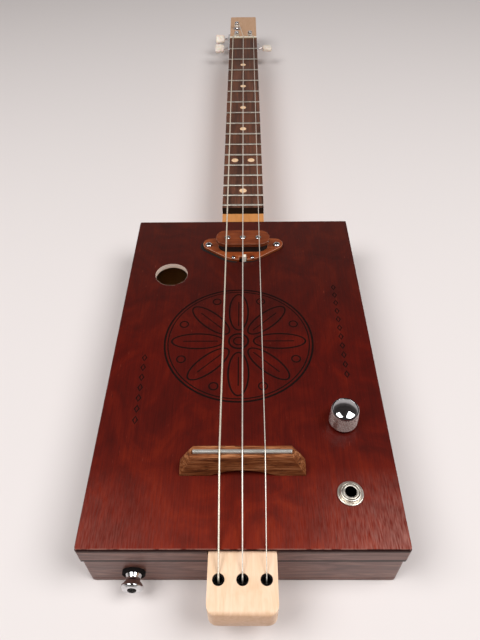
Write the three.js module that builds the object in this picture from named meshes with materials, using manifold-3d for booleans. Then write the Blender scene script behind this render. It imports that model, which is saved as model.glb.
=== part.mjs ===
// Three-string cigar box guitar with a through neck, in millimetres, +Z up.
// The origin is the centre of the box back's outer face, +Y runs to the headstock.
import * as THREE from 'three';
import { mergeVertices } from 'three/addons/utils/BufferGeometryUtils.js';
import Module from 'manifold-3d';

const wasm = await Module();
wasm.setup();

// Clearances shared by all pieces
const seat = 0.2;
const seam = 0.3;
const runningGap = 0.3;
const stringGap = 0.25;
const overrun = 1;

// Box
const boxWidth = 181;
const boxLength = 288;
const boxHeight = 46.5;
const lidDepth = 16;
const wallThick = 6;
const backThick = 4;
const panelThick = 4;
const panelProud = 2;
const panelInset = 0.5;
const panelRebate = 3;
const boxCornerRadius = 1.2;
const trayInset = 0.7;
const trayCornerRadius = 2.4;
const notchGap = 0.5;

const panelBottom = boxHeight - panelThick;
const seamHeight = boxHeight - lidDepth;
const boxTail = -boxLength / 2;
const boxHead = boxLength / 2;

// Sound hole, from the lid's left and head edges
const soundHoleDiameter = 25.4;
const soundHoleInset = 33.7;
const soundHoleFromHead = 69;

const soundHoleX = -boxWidth / 2 + soundHoleInset;
const soundHoleY = boxHead - soundHoleFromHead;

// Neck
const scaleLength = 647.7;
const saddleSetback = 2.96;
const neckWidth = 37;
const neckThick = 19;
const tailReach = 30.8;
const tailCornerRadius = 5;
const tailEdgeRadius = 1.8;
const headstockReach = 101;
const headstockThick = 12;
const neckSideLand = 4.5;
const neckRoundHalf = 17.2;
const heelStart = 10;
const heelRun = 34;
const throatRun = 26;
const throatEnd = 4;
const edgeRadius = 1.5;

// The bridge stands back from the box's head by shares of the scale and of the box's length
const bridgeScaleShare = 0.275;
const bridgeBoxShare = 0.213;
const saddlePlace = boxHead - scaleLength * bridgeScaleShare - boxLength * bridgeBoxShare;
const nutPlace = saddlePlace + scaleLength + saddleSetback;

const neckTop = panelBottom - seat;
const neckBottom = neckTop - neckThick;
const headstockBack = neckTop - headstockThick;
const neckTail = boxTail - tailReach;
const headstockEnd = nutPlace + headstockReach;

// Fretboard and frets
const fretboardThick = 6.5;
const fretboardPastFrets = 3.74;
const fretCount = 16;
const fretCrownWidth = 2.4;
const fretCrownHeight = 1.1;
const fretTangWidth = 0.6;
const fretTangDepth = 1.8;
const fretSlotGap = 0.15;

const fretboardBottom = neckTop + seat;
const fretboardTop = fretboardBottom + fretboardThick;
const fretboardEnd = fretPlace(fretCount) - fretboardPastFrets;

// Nut
const nutThick = 3.2;
const nutAboveFretboard = 1.7;

// Bridge and saddle rod
const bridgeHeight = 18;
const bridgeBaseHalf = 37;
const bridgeTopHalf = 28.2;
const bridgeDepth = 10.5;
const bridgeTopDepth = 7.5;
const bridgeShoulder = 4.5;
const bridgeShoulderDrop = 2.5;
const bridgeEndRise = 11;
const archHalf = 19.5;
const archRise = 5.4;
const rodDiameter = 2.6;
const rodSink = 1.1;

const bridgeBottom = boxHeight + seat;
const rodHeight = bridgeBottom + bridgeHeight + rodDiameter / 2 - rodSink;

// Strings, thickest on the left
const stringDiameters = [1.05, 0.8, 0.6];
const nutSpacing = 13.95;
const saddleSpacing = 12.9;
const tailSpacing = 12.6;
const tailHoleFromBox = 13.4;
const anchorDepth = 12;
const stringSides = 6;
const bendRadius = 1.6;
const windingTurns = 2.5;
const windingSteps = 24;
const windingClearance = 0.3;
const bendSteps = 3;

const nutBend = nutPlace + nutThick + bendRadius / 2;
const tailHolePlace = boxTail - tailHoleFromBox;

// Ferrules through the tail
const ferruleBodyDiameter = 5;
const ferruleFlangeDiameter = 6.2;
const ferruleFlangeThick = 1;
const ferruleBoreDiameter = 2.2;
const ferruleMouthDiameter = 4.6;
const ferruleLength = 17;

// Pickup, its ring and the slide switch in the ring's nose
const pickupFromHead = 36.5;
const ringThick = 2.6;
const earX = 26.2;
const earY = 2.5;
const earRadius = 6.8;
const ringFront = 17.6;
const ringBack = 10.5;
const bobbinLength = 40;
const bobbinWidth = 15.6;
const bobbinBelow = 8;
const coverLength = 43.6;
const coverWidth = 18.2;
const coverThick = 3;
const coverTop = 11.4;
const coverCornerRadius = 8.5;
const poleSpacing = 12.6;
const poleHeadDiameter = 4.4;
const poleHeadThick = 2.4;
const poleShankDiameter = 2.6;
const poleProud = 0.6;
const poleLength = 14;
const poleSlotWidth = 0.7;
const poleSlotDepth = 0.8;

const switchFromPickup = 16;
const leverWidth = 2.8;
const leverDepth = 3.2;
const leverTop = 5.4;
const leverBelow = 7;
const leverTravel = 2.6;
const leverRest = 1.3;
const switchLength = 13;
const switchWidth = 6.6;
const switchDepth = 7;
const switchEarLength = 21;
const switchEarThick = 0.8;
const switchScrewSpacing = 15.2;
const switchScrewHole = 2.2;
const channelMargin = 0.8;
const noseGap = 0.4;

const pickupPlace = boxHead - pickupFromHead;
const switchPlace = pickupPlace - switchFromPickup;

// Volume pot and knob, from the lid's right and tail edges
const potInset = 27.9;
const potFromTail = 80;
const potCanDiameter = 24;
const potCanHeight = 9;
const potBushDiameter = 9.4;
const potBushProud = 5.2;
const potShaftDiameter = 6.3;
const potShaftProud = 12.5;
const potNutFlats = 12.7;
const potNutThick = 2;
const knobBaseDiameter = 17.8;
const knobTopDiameter = 16.6;
const knobHeight = 16.5;
const knobDome = 2;
const knobSkirt = 2.2;
const knobLift = 0.8;
const knobHollowDiameter = 14.9;
const knobHollowDepth = 5.6;
const knobSocketDepth = 12.4;

const potX = boxWidth / 2 - potInset;
const potY = boxTail + potFromTail;

// Jack, from the lid's right and tail edges
const jackInset = 29.3;
const jackFromTail = 31.9;
const jackBushDiameter = 9.4;
const jackBoreDiameter = 6.5;
const jackProud = 3.2;
const jackFlangeDiameter = 14;
const jackFlangeThick = 2.5;
const jackBarrelDiameter = 11.5;
const jackBarrelLength = 20;
const jackEndThick = 1.5;
const jackWasherDiameter = 15.2;
const jackWasherThick = 1;
const jackNutDiameter = 12.4;
const jackNutThick = 1.7;

const jackX = boxWidth / 2 - jackInset;
const jackY = boxTail + jackFromTail;

// Strap button on the tail wall
const strapInset = 28.1;
const strapHeight = 14.5;
const strapBaseDiameter = 10.6;
const strapBaseThick = 1.6;
const strapWaistDiameter = 8.2;
const strapHeadDiameter = 12.8;
const strapHeadThick = 2.4;
const strapLength = 10.4;

const strapX = -boxWidth / 2 + strapInset;

// Tuners: worm and gear, driven by a button on the worm's shaft
const tunerX = 9.2;
const nearTunerOffset = 19;
const farTunerOffset = 54;
const gearTeeth = 14;
const toothPitch = 2.827;
const gearThick = 3.4;
const wormPitchDiameter = 5;
const toothAddendum = 0.85;
const toothDedendum = 1.05;
const toothClearance = 0.42;
const wormLength = 9;
const wormSteps = 12;
const wormShaftDiameter = 3;
const tunerPlateThick = 1.2;
const tunerPlateInner = 8;
const tunerPlateOuter = 13;
const tunerPlateTail = 8.5;
const tunerPlateNose = 5.5;
const lugThick = 1.6;
const lugHalf = 3.1;
const outerLugEnd = 12.2;
const wormBelowPlate = 4;
const wormCollarDiameter = 5.2;
const wormCollarThick = 1.2;
const postDiameter = 6;
const postWaistDiameter = 4.8;
const postProud = 9.4;
const postWaistLow = 1.6;
const postWaistHigh = 7;
const postCapHeight = 1.6;
const postScrewDiameter = 4.6;
const postScrewThick = 0.9;
const buttonStart = 27.5;
const buttonLength = 12.8;
const buttonWidth = 12.4;
const buttonThick = 6;
const buttonSocket = 7;
const buttonTurns = [-Math.PI / 6, -Math.PI / 4, 0];

const gearPitchRadius = (gearTeeth * toothPitch) / (2 * Math.PI);
const wormOffset = gearPitchRadius + wormPitchDiameter / 2;
const tunerPlateTop = headstockBack - seat;
const wormHeight = tunerPlateTop - tunerPlateThick - wormBelowPlate;

// Materials
const finishes = {
  boxWood: [0x5a1f14, 0.35, 0],
  rimWood: [0x7d6960, 0.6, 0],
  maple: [0xf0d2ad, 0.5, 0],
  rosewood: [0x5f4137, 0.6, 0],
  walnut: [0x824b2d, 0.55, 0],
  redWood: [0x823c23, 0.5, 0],
  nickel: [0xc8c8c8, 0.3, 0.9],
  chrome: [0xdcdcdc, 0.12, 1],
  steel: [0xb4b4b0, 0.35, 0.9],
  blackPlastic: [0x161616, 0.5, 0],
  blackMetal: [0x1c1a1a, 0.45, 0.6],
  cream: [0xe8d8c0, 0.4, 0],
  bone: [0xf0ece0, 0.4, 0],
  whitePlastic: [0xf4f0e8, 0.4, 0],
};

const materials = {};
for (const [name, [color, roughness, metalness]] of Object.entries(finishes)) {
  materials[name] = new THREE.MeshStandardMaterial({ color, roughness, metalness });
}

const guitar = new THREE.Group();
guitar.name = 'cigar_box_guitar';

function addPiece(name, geometry, material) {
  const mesh = new THREE.Mesh(geometry, materials[material]);
  mesh.name = name;
  guitar.add(mesh);
  return mesh;
}

const smooth = (t) => t * t * (3 - 2 * t);
const blend = (a, b, t) => a + (b - a) * t;
const clamp01 = (t) => Math.min(Math.max(t, 0), 1);

// Solids and booleans

function toSolid(geometry) {
  const bare = geometry.index ? geometry.toNonIndexed() : geometry.clone();
  bare.deleteAttribute('normal');
  bare.deleteAttribute('uv');
  const merged = mergeVertices(bare);
  return new wasm.Manifold(new wasm.Mesh({
    numProp: 3,
    vertProperties: new Float32Array(merged.attributes.position.array),
    triVerts: new Uint32Array(merged.index.array),
  }));
}

function toGeometry(solid) {
  const mesh = solid.getMesh();
  const geometry = new THREE.BufferGeometry();
  geometry.setAttribute('position', new THREE.BufferAttribute(mesh.vertProperties, 3));
  geometry.setIndex(new THREE.BufferAttribute(mesh.triVerts, 1));
  geometry.computeVertexNormals();
  return geometry;
}

function cut(geometry, tools) {
  let solid = toSolid(geometry);
  for (const tool of tools) {
    solid = solid.subtract(toSolid(tool));
  }
  return toGeometry(solid);
}

function join(geometries) {
  let solid = toSolid(geometries[0]);
  for (const extra of geometries.slice(1)) {
    solid = solid.add(toSolid(extra));
  }
  return toGeometry(solid);
}

function trim(geometry, bounds) {
  return toGeometry(toSolid(geometry).intersect(toSolid(bounds)));
}

// Extrusions: a shape drawn in XY, in YZ or in XZ

function slab(shape, bottom, top, curveSegments = 12) {
  const geometry = new THREE.ExtrudeGeometry(shape, {
    depth: top - bottom,
    bevelEnabled: false,
    curveSegments,
  });
  geometry.translate(0, 0, bottom);
  return geometry;
}

function extrudeAlongX(shape, start, end, curveSegments = 12) {
  const geometry = slab(shape, start, end, curveSegments);
  const turn = new THREE.Matrix4().makeBasis(
    new THREE.Vector3(0, 1, 0),
    new THREE.Vector3(0, 0, 1),
    new THREE.Vector3(1, 0, 0),
  );
  geometry.applyMatrix4(turn);
  return geometry;
}

function extrudeAlongY(shape, start, end, curveSegments = 12) {
  const geometry = slab(shape, -end, -start, curveSegments);
  const turn = new THREE.Matrix4().makeBasis(
    new THREE.Vector3(1, 0, 0),
    new THREE.Vector3(0, 0, 1),
    new THREE.Vector3(0, -1, 0),
  );
  geometry.applyMatrix4(turn);
  return geometry;
}

function block(x0, x1, y0, y1, z0, z1) {
  const geometry = new THREE.BoxGeometry(x1 - x0, y1 - y0, z1 - z0);
  geometry.translate((x0 + x1) / 2, (y0 + y1) / 2, (z0 + z1) / 2);
  return geometry;
}

function rod(diameter, bottom, top, sides) {
  const geometry = new THREE.CylinderGeometry(diameter / 2, diameter / 2, top - bottom, sides);
  geometry.rotateX(Math.PI / 2);
  geometry.translate(0, 0, (bottom + top) / 2);
  return geometry;
}

function rodAlongX(diameter, start, end, sides) {
  const geometry = rod(diameter, start, end, sides);
  geometry.rotateY(Math.PI / 2);
  return geometry;
}

// A revolved solid about Z, from a profile of [radius, height] pairs
function turned(profile, segments) {
  const points = profile.map(([radius, height]) => new THREE.Vector2(radius, height));
  const geometry = new THREE.LatheGeometry(points, segments);
  geometry.rotateX(Math.PI / 2);
  return geometry;
}

function pathOf(points) {
  const shape = new THREE.Shape();
  points.forEach(([x, y], i) => (i === 0 ? shape.moveTo(x, y) : shape.lineTo(x, y)));
  shape.closePath();
  return shape;
}

// Points of an arc, from one angle to another
function arcPoints(x, y, radius, from, to, steps) {
  const points = [];
  for (let i = 0; i <= steps; i++) {
    const angle = blend(from, to, i / steps);
    points.push([x + radius * Math.cos(angle), y + radius * Math.sin(angle)]);
  }
  return points;
}

function roundedRectangle(width, length, radius, x = 0, y = 0, steps = 2) {
  const r = Math.min(radius, width / 2, length / 2);
  const right = x + width / 2 - r;
  const left = x - width / 2 + r;
  const back = y + length / 2 - r;
  const front = y - length / 2 + r;
  const quarter = Math.PI / 2;
  const points = [
    ...arcPoints(right, front, r, -quarter, 0, steps),
    ...arcPoints(right, back, r, 0, quarter, steps),
    ...arcPoints(left, back, r, quarter, 2 * quarter, steps),
    ...arcPoints(left, front, r, 2 * quarter, 3 * quarter, steps),
  ];
  return pathOf(points.filter(([px, py], i) => {
    const [qx, qy] = points[(i + 1) % points.length];
    return Math.hypot(px - qx, py - qy) > r / 1000;
  }));
}

function circle(diameter, x = 0, y = 0, sides = 20) {
  const full = arcPoints(x, y, diameter / 2, 0, Math.PI * 2, sides);
  return pathOf(full.slice(0, -1));
}

// A closed skin over rings of points: each ring has as many points, ends are capped
function loft(rings) {
  const count = rings[0].length;
  const positions = [];
  const indices = [];
  for (const ring of rings) {
    for (const point of ring) {
      positions.push(point.x, point.y, point.z);
    }
  }
  for (let j = 0; j < rings.length - 1; j++) {
    for (let i = 0; i < count; i++) {
      const a = j * count + i;
      const b = j * count + ((i + 1) % count);
      indices.push(a, b, b + count, a, b + count, a + count);
    }
  }
  const ends = [0, rings.length - 1];
  for (const end of ends) {
    const middle = new THREE.Vector3();
    rings[end].forEach((point) => middle.addScaledVector(point, 1 / count));
    const hub = positions.length / 3;
    positions.push(middle.x, middle.y, middle.z);
    for (let i = 0; i < count; i++) {
      const a = end * count + i;
      const b = end * count + ((i + 1) % count);
      if (end === 0) {
        indices.push(hub, b, a);
      } else {
        indices.push(hub, a, b);
      }
    }
  }
  const geometry = new THREE.BufferGeometry();
  geometry.setAttribute('position', new THREE.Float32BufferAttribute(positions, 3));
  geometry.setIndex(indices);
  geometry.computeVertexNormals();
  return geometry;
}

// A round tube along points, with its section carried along without twist
function tube(points, radius, sides) {
  const tangentAt = (i) => {
    const before = points[Math.max(i - 1, 0)];
    const after = points[Math.min(i + 1, points.length - 1)];
    return after.clone().sub(before).normalize();
  };
  let across = new THREE.Vector3(1, 0, 0);
  const rings = points.map((point, i) => {
    const tangent = tangentAt(i);
    across = across.clone().addScaledVector(tangent, -across.dot(tangent)).normalize();
    const up = tangent.clone().cross(across);
    const ring = [];
    for (let k = 0; k < sides; k++) {
      const angle = (k / sides) * Math.PI * 2;
      const offset = across.clone().multiplyScalar(Math.cos(angle));
      offset.addScaledVector(up, Math.sin(angle));
      ring.push(point.clone().addScaledVector(offset, radius));
    }
    return ring;
  });
  return loft(rings);
}

// Box

// The tray stands a little inside the lid's rim
function trayOutline() {
  return roundedRectangle(boxWidth - 2 * trayInset, boxLength - 2 * trayInset, trayCornerRadius, 0, 0, 4);
}

function makeTrayBack() {
  return slab(trayOutline(), 0, backThick);
}

function makeTrayWalls() {
  const outline = trayOutline();
  outline.holes.push(pathOf([
    [-boxWidth / 2 + wallThick, boxTail + wallThick],
    [-boxWidth / 2 + wallThick, boxHead - wallThick],
    [boxWidth / 2 - wallThick, boxHead - wallThick],
    [boxWidth / 2 - wallThick, boxTail + wallThick],
  ]));
  const walls = slab(outline, backThick + seat, seamHeight - seam / 2);
  const notch = neckWidth / 2 + notchGap;
  const notches = block(
    -notch, notch,
    boxTail - overrun, boxHead + overrun,
    neckBottom - seat, seamHeight + overrun,
  );
  return cut(walls, [notches]);
}

// One C-shaped half of the lid's rim, open where the neck passes
function rimOutline(side, thick, inner) {
  const gap = side * (neckWidth / 2 + notchGap);
  const out = side * (boxWidth / 2);
  const inside = side * (boxWidth / 2 - thick);
  const r = side * boxCornerRadius;
  const head = boxHead - inner;
  const tail = boxTail + inner;
  return pathOf([
    [gap, boxTail], [out - r, boxTail], [out, boxTail + boxCornerRadius],
    [out, boxHead - boxCornerRadius], [out - r, boxHead], [gap, boxHead],
    [gap, head], [inside, head], [inside, tail], [gap, tail],
  ]);
}

function makeLidRim(side) {
  const lipThick = panelRebate - seat;
  const lipTop = boxHeight - panelProud - seat;
  const low = slab(rimOutline(side, wallThick, wallThick), seamHeight + seam / 2, neckTop);
  const lip = slab(rimOutline(side, lipThick, lipThick), seamHeight + lidDepth / 4, lipTop);
  return join([low, lip]);
}

// The panel covers the rim, and its rebated lower half lies inside the rim's lip
function makeLidPanel() {
  const cover = roundedRectangle(
    boxWidth - 2 * panelInset,
    boxLength - 2 * panelInset,
    boxCornerRadius,
  );
  const insert = roundedRectangle(
    boxWidth - 2 * panelRebate,
    boxLength - 2 * panelRebate,
    boxCornerRadius,
  );
  const openings = [
    circle(soundHoleDiameter, soundHoleX, soundHoleY, 36),
    circle(potBushDiameter + 2 * runningGap, potX, potY),
    circle(jackBushDiameter + 2 * runningGap, jackX, jackY),
    roundedRectangle(
      bobbinLength + 2 * runningGap,
      bobbinWidth + 2 * runningGap,
      bobbinWidth / 2,
      0,
      pickupPlace,
      5,
    ),
    roundedRectangle(
      leverWidth + leverTravel + 2 * noseGap,
      leverDepth + 2 * noseGap,
      noseGap,
      0,
      switchPlace,
    ),
  ];
  for (const outline of [cover, insert]) {
    openings.forEach((opening) => outline.holes.push(opening));
  }
  const step = boxHeight - panelProud;
  return join([slab(cover, step, boxHeight), slab(insert, panelBottom, step)]);
}

// Neck

// The section at a place along Y: flat top, and bottom corners that are quarter ellipses
function neckRing(y, halfWidth, top, bottom, roundX, roundZ) {
  const steps = 5;
  const ring = [
    new THREE.Vector3(-halfWidth, y, top),
    new THREE.Vector3(halfWidth, y, top),
  ];
  for (const side of [1, -1]) {
    for (let i = 0; i <= steps; i++) {
      const share = side > 0 ? i / steps : 1 - i / steps;
      const angle = (share * Math.PI) / 2;
      const x = side * (halfWidth - roundX * (1 - Math.cos(angle)));
      const z = bottom + roundZ * (1 - Math.sin(angle));
      ring.push(new THREE.Vector3(x, y, z));
    }
  }
  return ring;
}

function neckRingAt(y, shrink = 0, edge = 0) {
  const intoNeck = smooth(clamp01((y - boxHead - heelStart) / heelRun));
  const throatStart = nutPlace + throatEnd - throatRun;
  const intoHead = smooth(clamp01((y - throatStart) / throatRun));
  const rounding = intoNeck * (1 - intoHead);
  const thick = blend(neckThick, headstockThick, intoHead);
  const roundX = blend(edgeRadius, neckRoundHalf, rounding);
  const roundZ = blend(edgeRadius, neckThick - neckSideLand, rounding);
  return neckRing(y, neckWidth / 2 - shrink, neckTop - edge, neckTop - thick + edge, roundX, roundZ);
}

function makeNeck() {
  const rings = [];
  const roundSteps = 4;
  for (let i = 0; i <= roundSteps; i++) {
    const angle = (i / roundSteps) * (Math.PI / 2);
    const y = neckTail + tailCornerRadius * (1 - Math.cos(angle));
    const inward = 1 - Math.sin(angle);
    rings.push(neckRingAt(y, tailCornerRadius * inward, tailEdgeRadius * inward));
  }
  const heelSteps = 6;
  for (let i = 0; i <= heelSteps; i++) {
    rings.push(neckRingAt(boxHead + heelStart + (heelRun * i) / heelSteps));
  }
  const throatSteps = 6;
  for (let i = 0; i <= throatSteps; i++) {
    rings.push(neckRingAt(nutPlace + throatEnd - throatRun + (throatRun * i) / throatSteps));
  }
  rings.push(neckRingAt(headstockEnd - edgeRadius));
  rings.push(neckRingAt(headstockEnd, edgeRadius));

  const holes = [];
  for (const tuner of tuners) {
    const hole = rod(postDiameter + 2 * runningGap, headstockBack - overrun, neckTop + overrun, 20);
    hole.translate(tuner.x, tuner.y, 0);
    holes.push(hole);
  }
  for (const string of strings) {
    const profile = [
      [0, neckBottom - overrun],
      [ferruleBodyDiameter / 2 + seat, neckBottom - overrun],
      [ferruleBodyDiameter / 2 + seat, neckTop - ferruleFlangeThick - 2 * seat],
      [ferruleFlangeDiameter / 2 + seat, neckTop - ferruleFlangeThick - 2 * seat],
      [ferruleFlangeDiameter / 2 + seat, neckTop + overrun],
      [0, neckTop + overrun],
    ];
    const hole = turned(profile, 20);
    hole.translate(string.tailX, tailHolePlace, 0);
    holes.push(hole);
  }
  const channelTail = switchPlace - switchWidth / 2 - channelMargin;
  const channelHead = pickupPlace + bobbinWidth / 2 + channelMargin;
  const channelBottom = boxHeight - Math.max(bobbinBelow, panelThick + switchDepth) - channelMargin;
  holes.push(block(
    -neckWidth / 2 - overrun, neckWidth / 2 + overrun,
    channelTail, channelHead,
    channelBottom, neckTop + overrun,
  ));
  return cut(loft(rings), holes);
}

// Fretboard, frets and nut

function fretPlace(number) {
  return nutPlace - scaleLength * (1 - 2 ** (-number / 12));
}

function makeFretboard() {
  const slotHalf = fretTangWidth / 2 + fretSlotGap;
  const slotBottom = fretboardTop - fretTangDepth - fretSlotGap;
  const points = [[fretboardEnd, fretboardBottom], [nutPlace - seat, fretboardBottom]];
  points.push([nutPlace - seat, fretboardTop]);
  for (let number = 1; number <= fretCount; number++) {
    const y = fretPlace(number);
    points.push([y + slotHalf, fretboardTop], [y + slotHalf, slotBottom]);
    points.push([y - slotHalf, slotBottom], [y - slotHalf, fretboardTop]);
  }
  points.push([fretboardEnd, fretboardTop]);
  return extrudeAlongX(pathOf(points), -neckWidth / 2, neckWidth / 2);
}

function makeFret(number) {
  const y = fretPlace(number);
  const bottom = fretboardTop + fretSlotGap / 2;
  const tangHalf = fretTangWidth / 2;
  const crownHalf = fretCrownWidth / 2;
  const points = [
    [y + tangHalf, bottom],
    [y + tangHalf, fretboardTop - fretTangDepth],
    [y - tangHalf, fretboardTop - fretTangDepth],
    [y - tangHalf, bottom],
    [y - crownHalf, bottom],
  ];
  const crownSteps = 6;
  for (let i = 1; i < crownSteps; i++) {
    const angle = Math.PI * (1 - i / crownSteps);
    points.push([y + crownHalf * Math.cos(angle), bottom + fretCrownHeight * Math.sin(angle)]);
  }
  points.push([y + crownHalf, bottom]);
  const end = neckWidth / 2 - fretSlotGap;
  return extrudeAlongX(pathOf(points), -end, end);
}

function makeNut() {
  const top = fretboardTop + nutAboveFretboard;
  const half = neckWidth / 2;
  const points = [[-half, fretboardBottom], [-half, top]];
  for (const string of strings) {
    const grooveHalf = string.radius + stringGap;
    points.push([string.nutX - grooveHalf, top]);
    points.push([string.nutX - grooveHalf, string.nutZ - string.radius - stringGap]);
    points.push([string.nutX + grooveHalf, string.nutZ - string.radius - stringGap]);
    points.push([string.nutX + grooveHalf, top]);
  }
  points.push([half, top], [half, fretboardBottom]);
  return extrudeAlongY(pathOf(points), nutPlace, nutPlace + nutThick);
}

// Bridge, saddle rod and ferrules

// A plane through three points of the bridge, as a block that takes away what lies beyond it
function facetTool(corner, foot, middle) {
  const along = foot.clone().sub(corner).normalize();
  const normal = along.clone().cross(middle.clone().sub(corner)).normalize();
  if (normal.x * corner.x < 0) {
    normal.negate();
  }
  const across = normal.clone().cross(along);
  const reach = bridgeBaseHalf;
  const tool = block(-reach, reach, -reach, reach, 0, reach);
  tool.applyMatrix4(new THREE.Matrix4().makeBasis(along, across, normal));
  tool.translate(corner.x, corner.y, corner.z);
  return tool;
}

// Arched below, with ends that curve down and are cut back to slanting facets front and rear
function makeBridge() {
  const shape = new THREE.Shape();
  const endShare = 0.45;
  const shoulderX = bridgeTopHalf + bridgeShoulder;
  const shoulderZ = bridgeHeight - bridgeShoulderDrop;
  shape.moveTo(-bridgeBaseHalf, 0);
  shape.lineTo(-archHalf, 0);
  shape.quadraticCurveTo(-archHalf * endShare, archRise, 0, archRise);
  shape.quadraticCurveTo(archHalf * endShare, archRise, archHalf, 0);
  shape.lineTo(bridgeBaseHalf, 0);
  shape.bezierCurveTo(bridgeBaseHalf, bridgeEndRise, shoulderX, shoulderZ, bridgeTopHalf, bridgeHeight);
  shape.lineTo(-bridgeTopHalf, bridgeHeight);
  shape.bezierCurveTo(-shoulderX, shoulderZ, -bridgeBaseHalf, bridgeEndRise, -bridgeBaseHalf, 0);
  const body = extrudeAlongY(shape, -bridgeDepth / 2, bridgeDepth / 2, 8);
  const places = body.attributes.position;
  for (let i = 0; i < places.count; i++) {
    const narrow = blend(1, bridgeTopDepth / bridgeDepth, places.getZ(i) / bridgeHeight);
    places.setY(i, places.getY(i) * narrow);
  }
  const tools = [];
  for (const side of [-1, 1]) {
    const middle = new THREE.Vector3(side * (bridgeBaseHalf - seam), 0, bridgeHeight / 2);
    for (const face of [-1, 1]) {
      const corner = new THREE.Vector3(side * bridgeTopHalf, face * bridgeTopDepth / 2, bridgeHeight);
      const foot = new THREE.Vector3(side * bridgeBaseHalf, face * bridgeDepth / 2, 0);
      tools.push(facetTool(corner, foot, middle));
    }
  }
  tools.forEach((tool) => tool.translate(0, saddlePlace, bridgeBottom));
  body.translate(0, saddlePlace, bridgeBottom);
  const grooveReach = bridgeTopHalf + overrun;
  const groove = rodAlongX(rodDiameter + 2 * seat, -grooveReach, grooveReach, 16);
  groove.translate(0, saddlePlace, rodHeight);
  return cut(body, [groove, ...tools]);
}

function makeSaddleRod() {
  const geometry = rodAlongX(rodDiameter, -bridgeTopHalf, bridgeTopHalf, 16);
  geometry.translate(0, saddlePlace, rodHeight);
  return geometry;
}

function makeFerrule(string) {
  const top = neckTop - seat;
  const flangeBottom = top - ferruleFlangeThick;
  const geometry = turned([
    [ferruleBoreDiameter / 2, top - ferruleLength],
    [ferruleBodyDiameter / 2, top - ferruleLength],
    [ferruleBodyDiameter / 2, flangeBottom],
    [ferruleFlangeDiameter / 2, flangeBottom],
    [ferruleFlangeDiameter / 2, top],
    [ferruleMouthDiameter / 2, top],
    [ferruleBoreDiameter / 2, top - ferruleFlangeDiameter / 2],
    [ferruleBoreDiameter / 2, top - ferruleLength],
  ], 16);
  geometry.translate(string.tailX, tailHolePlace, 0);
  return geometry;
}

// Strings

// Points of a round bend between two straight runs, at the corner where they meet
function bend(before, corner, after, radius) {
  const incoming = corner.clone().sub(before).normalize();
  const outgoing = after.clone().sub(corner).normalize();
  const turn = incoming.angleTo(outgoing);
  const setback = radius * Math.tan(turn / 2);
  const start = corner.clone().addScaledVector(incoming, -setback);
  const end = corner.clone().addScaledVector(outgoing, setback);
  const points = [];
  for (let i = 0; i <= bendSteps; i++) {
    const t = i / bendSteps;
    const first = start.clone().lerp(corner, t);
    const second = corner.clone().lerp(end, t);
    points.push(first.lerp(second, t));
  }
  return points;
}

// The winding starts where the run from the nut touches its circle, and climbs down the post
function windingPoints(string, tuner) {
  const radius = postWaistDiameter / 2 + windingClearance + string.radius;
  const dx = string.nutX - tuner.x;
  const dy = nutBend - tuner.y;
  const run = Math.sqrt(dx * dx + dy * dy - radius * radius);
  const spin = -tuner.side;
  const start = Math.atan2(dy, dx) + spin * Math.atan2(run, radius);
  const pitch = string.radius * 2 + windingClearance;
  const high = neckTop + postWaistHigh - string.radius - runningGap;
  const points = [];
  const count = windingTurns * windingSteps;
  for (let i = 0; i <= count; i++) {
    const turn = i / windingSteps;
    const angle = start + spin * turn * Math.PI * 2;
    points.push(new THREE.Vector3(
      tuner.x + radius * Math.cos(angle),
      tuner.y + radius * Math.sin(angle),
      high - pitch * turn,
    ));
  }
  return points;
}

// From the ferrule over the bridge's rear edge, the rod and the nut to the winding
function stringPoints(string, tuner) {
  const anchor = new THREE.Vector3(string.tailX, tailHolePlace, neckTop - anchorDepth);
  const mouth = new THREE.Vector3(string.tailX, tailHolePlace, neckTop);
  const saddle = new THREE.Vector3(string.saddleX, saddlePlace, string.saddleZ);
  const edgeShare = bridgeTopDepth / 2 / (saddlePlace - tailHolePlace);
  const edge = saddle.clone().lerp(mouth, edgeShare);
  edge.z = Math.max(edge.z, bridgeBottom + bridgeHeight + string.radius + stringGap);
  const nut = new THREE.Vector3(string.nutX, nutBend, string.nutZ);
  const winding = windingPoints(string, tuner);
  return [
    anchor,
    ...bend(anchor, mouth, edge, bendRadius),
    edge,
    ...bend(edge, saddle, nut, rodDiameter),
    ...bend(saddle, nut, winding[0], bendRadius),
    ...winding,
  ];
}

// The least gap between turns of one winding, measured on its centre points
function windingGap(points, radius) {
  let least = Infinity;
  for (let i = 0; i < points.length; i++) {
    for (let j = i + windingSteps / 2; j < points.length; j++) {
      least = Math.min(least, points[i].distanceTo(points[j]) - 2 * radius);
    }
  }
  return least;
}

// Pickup and switch

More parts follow.
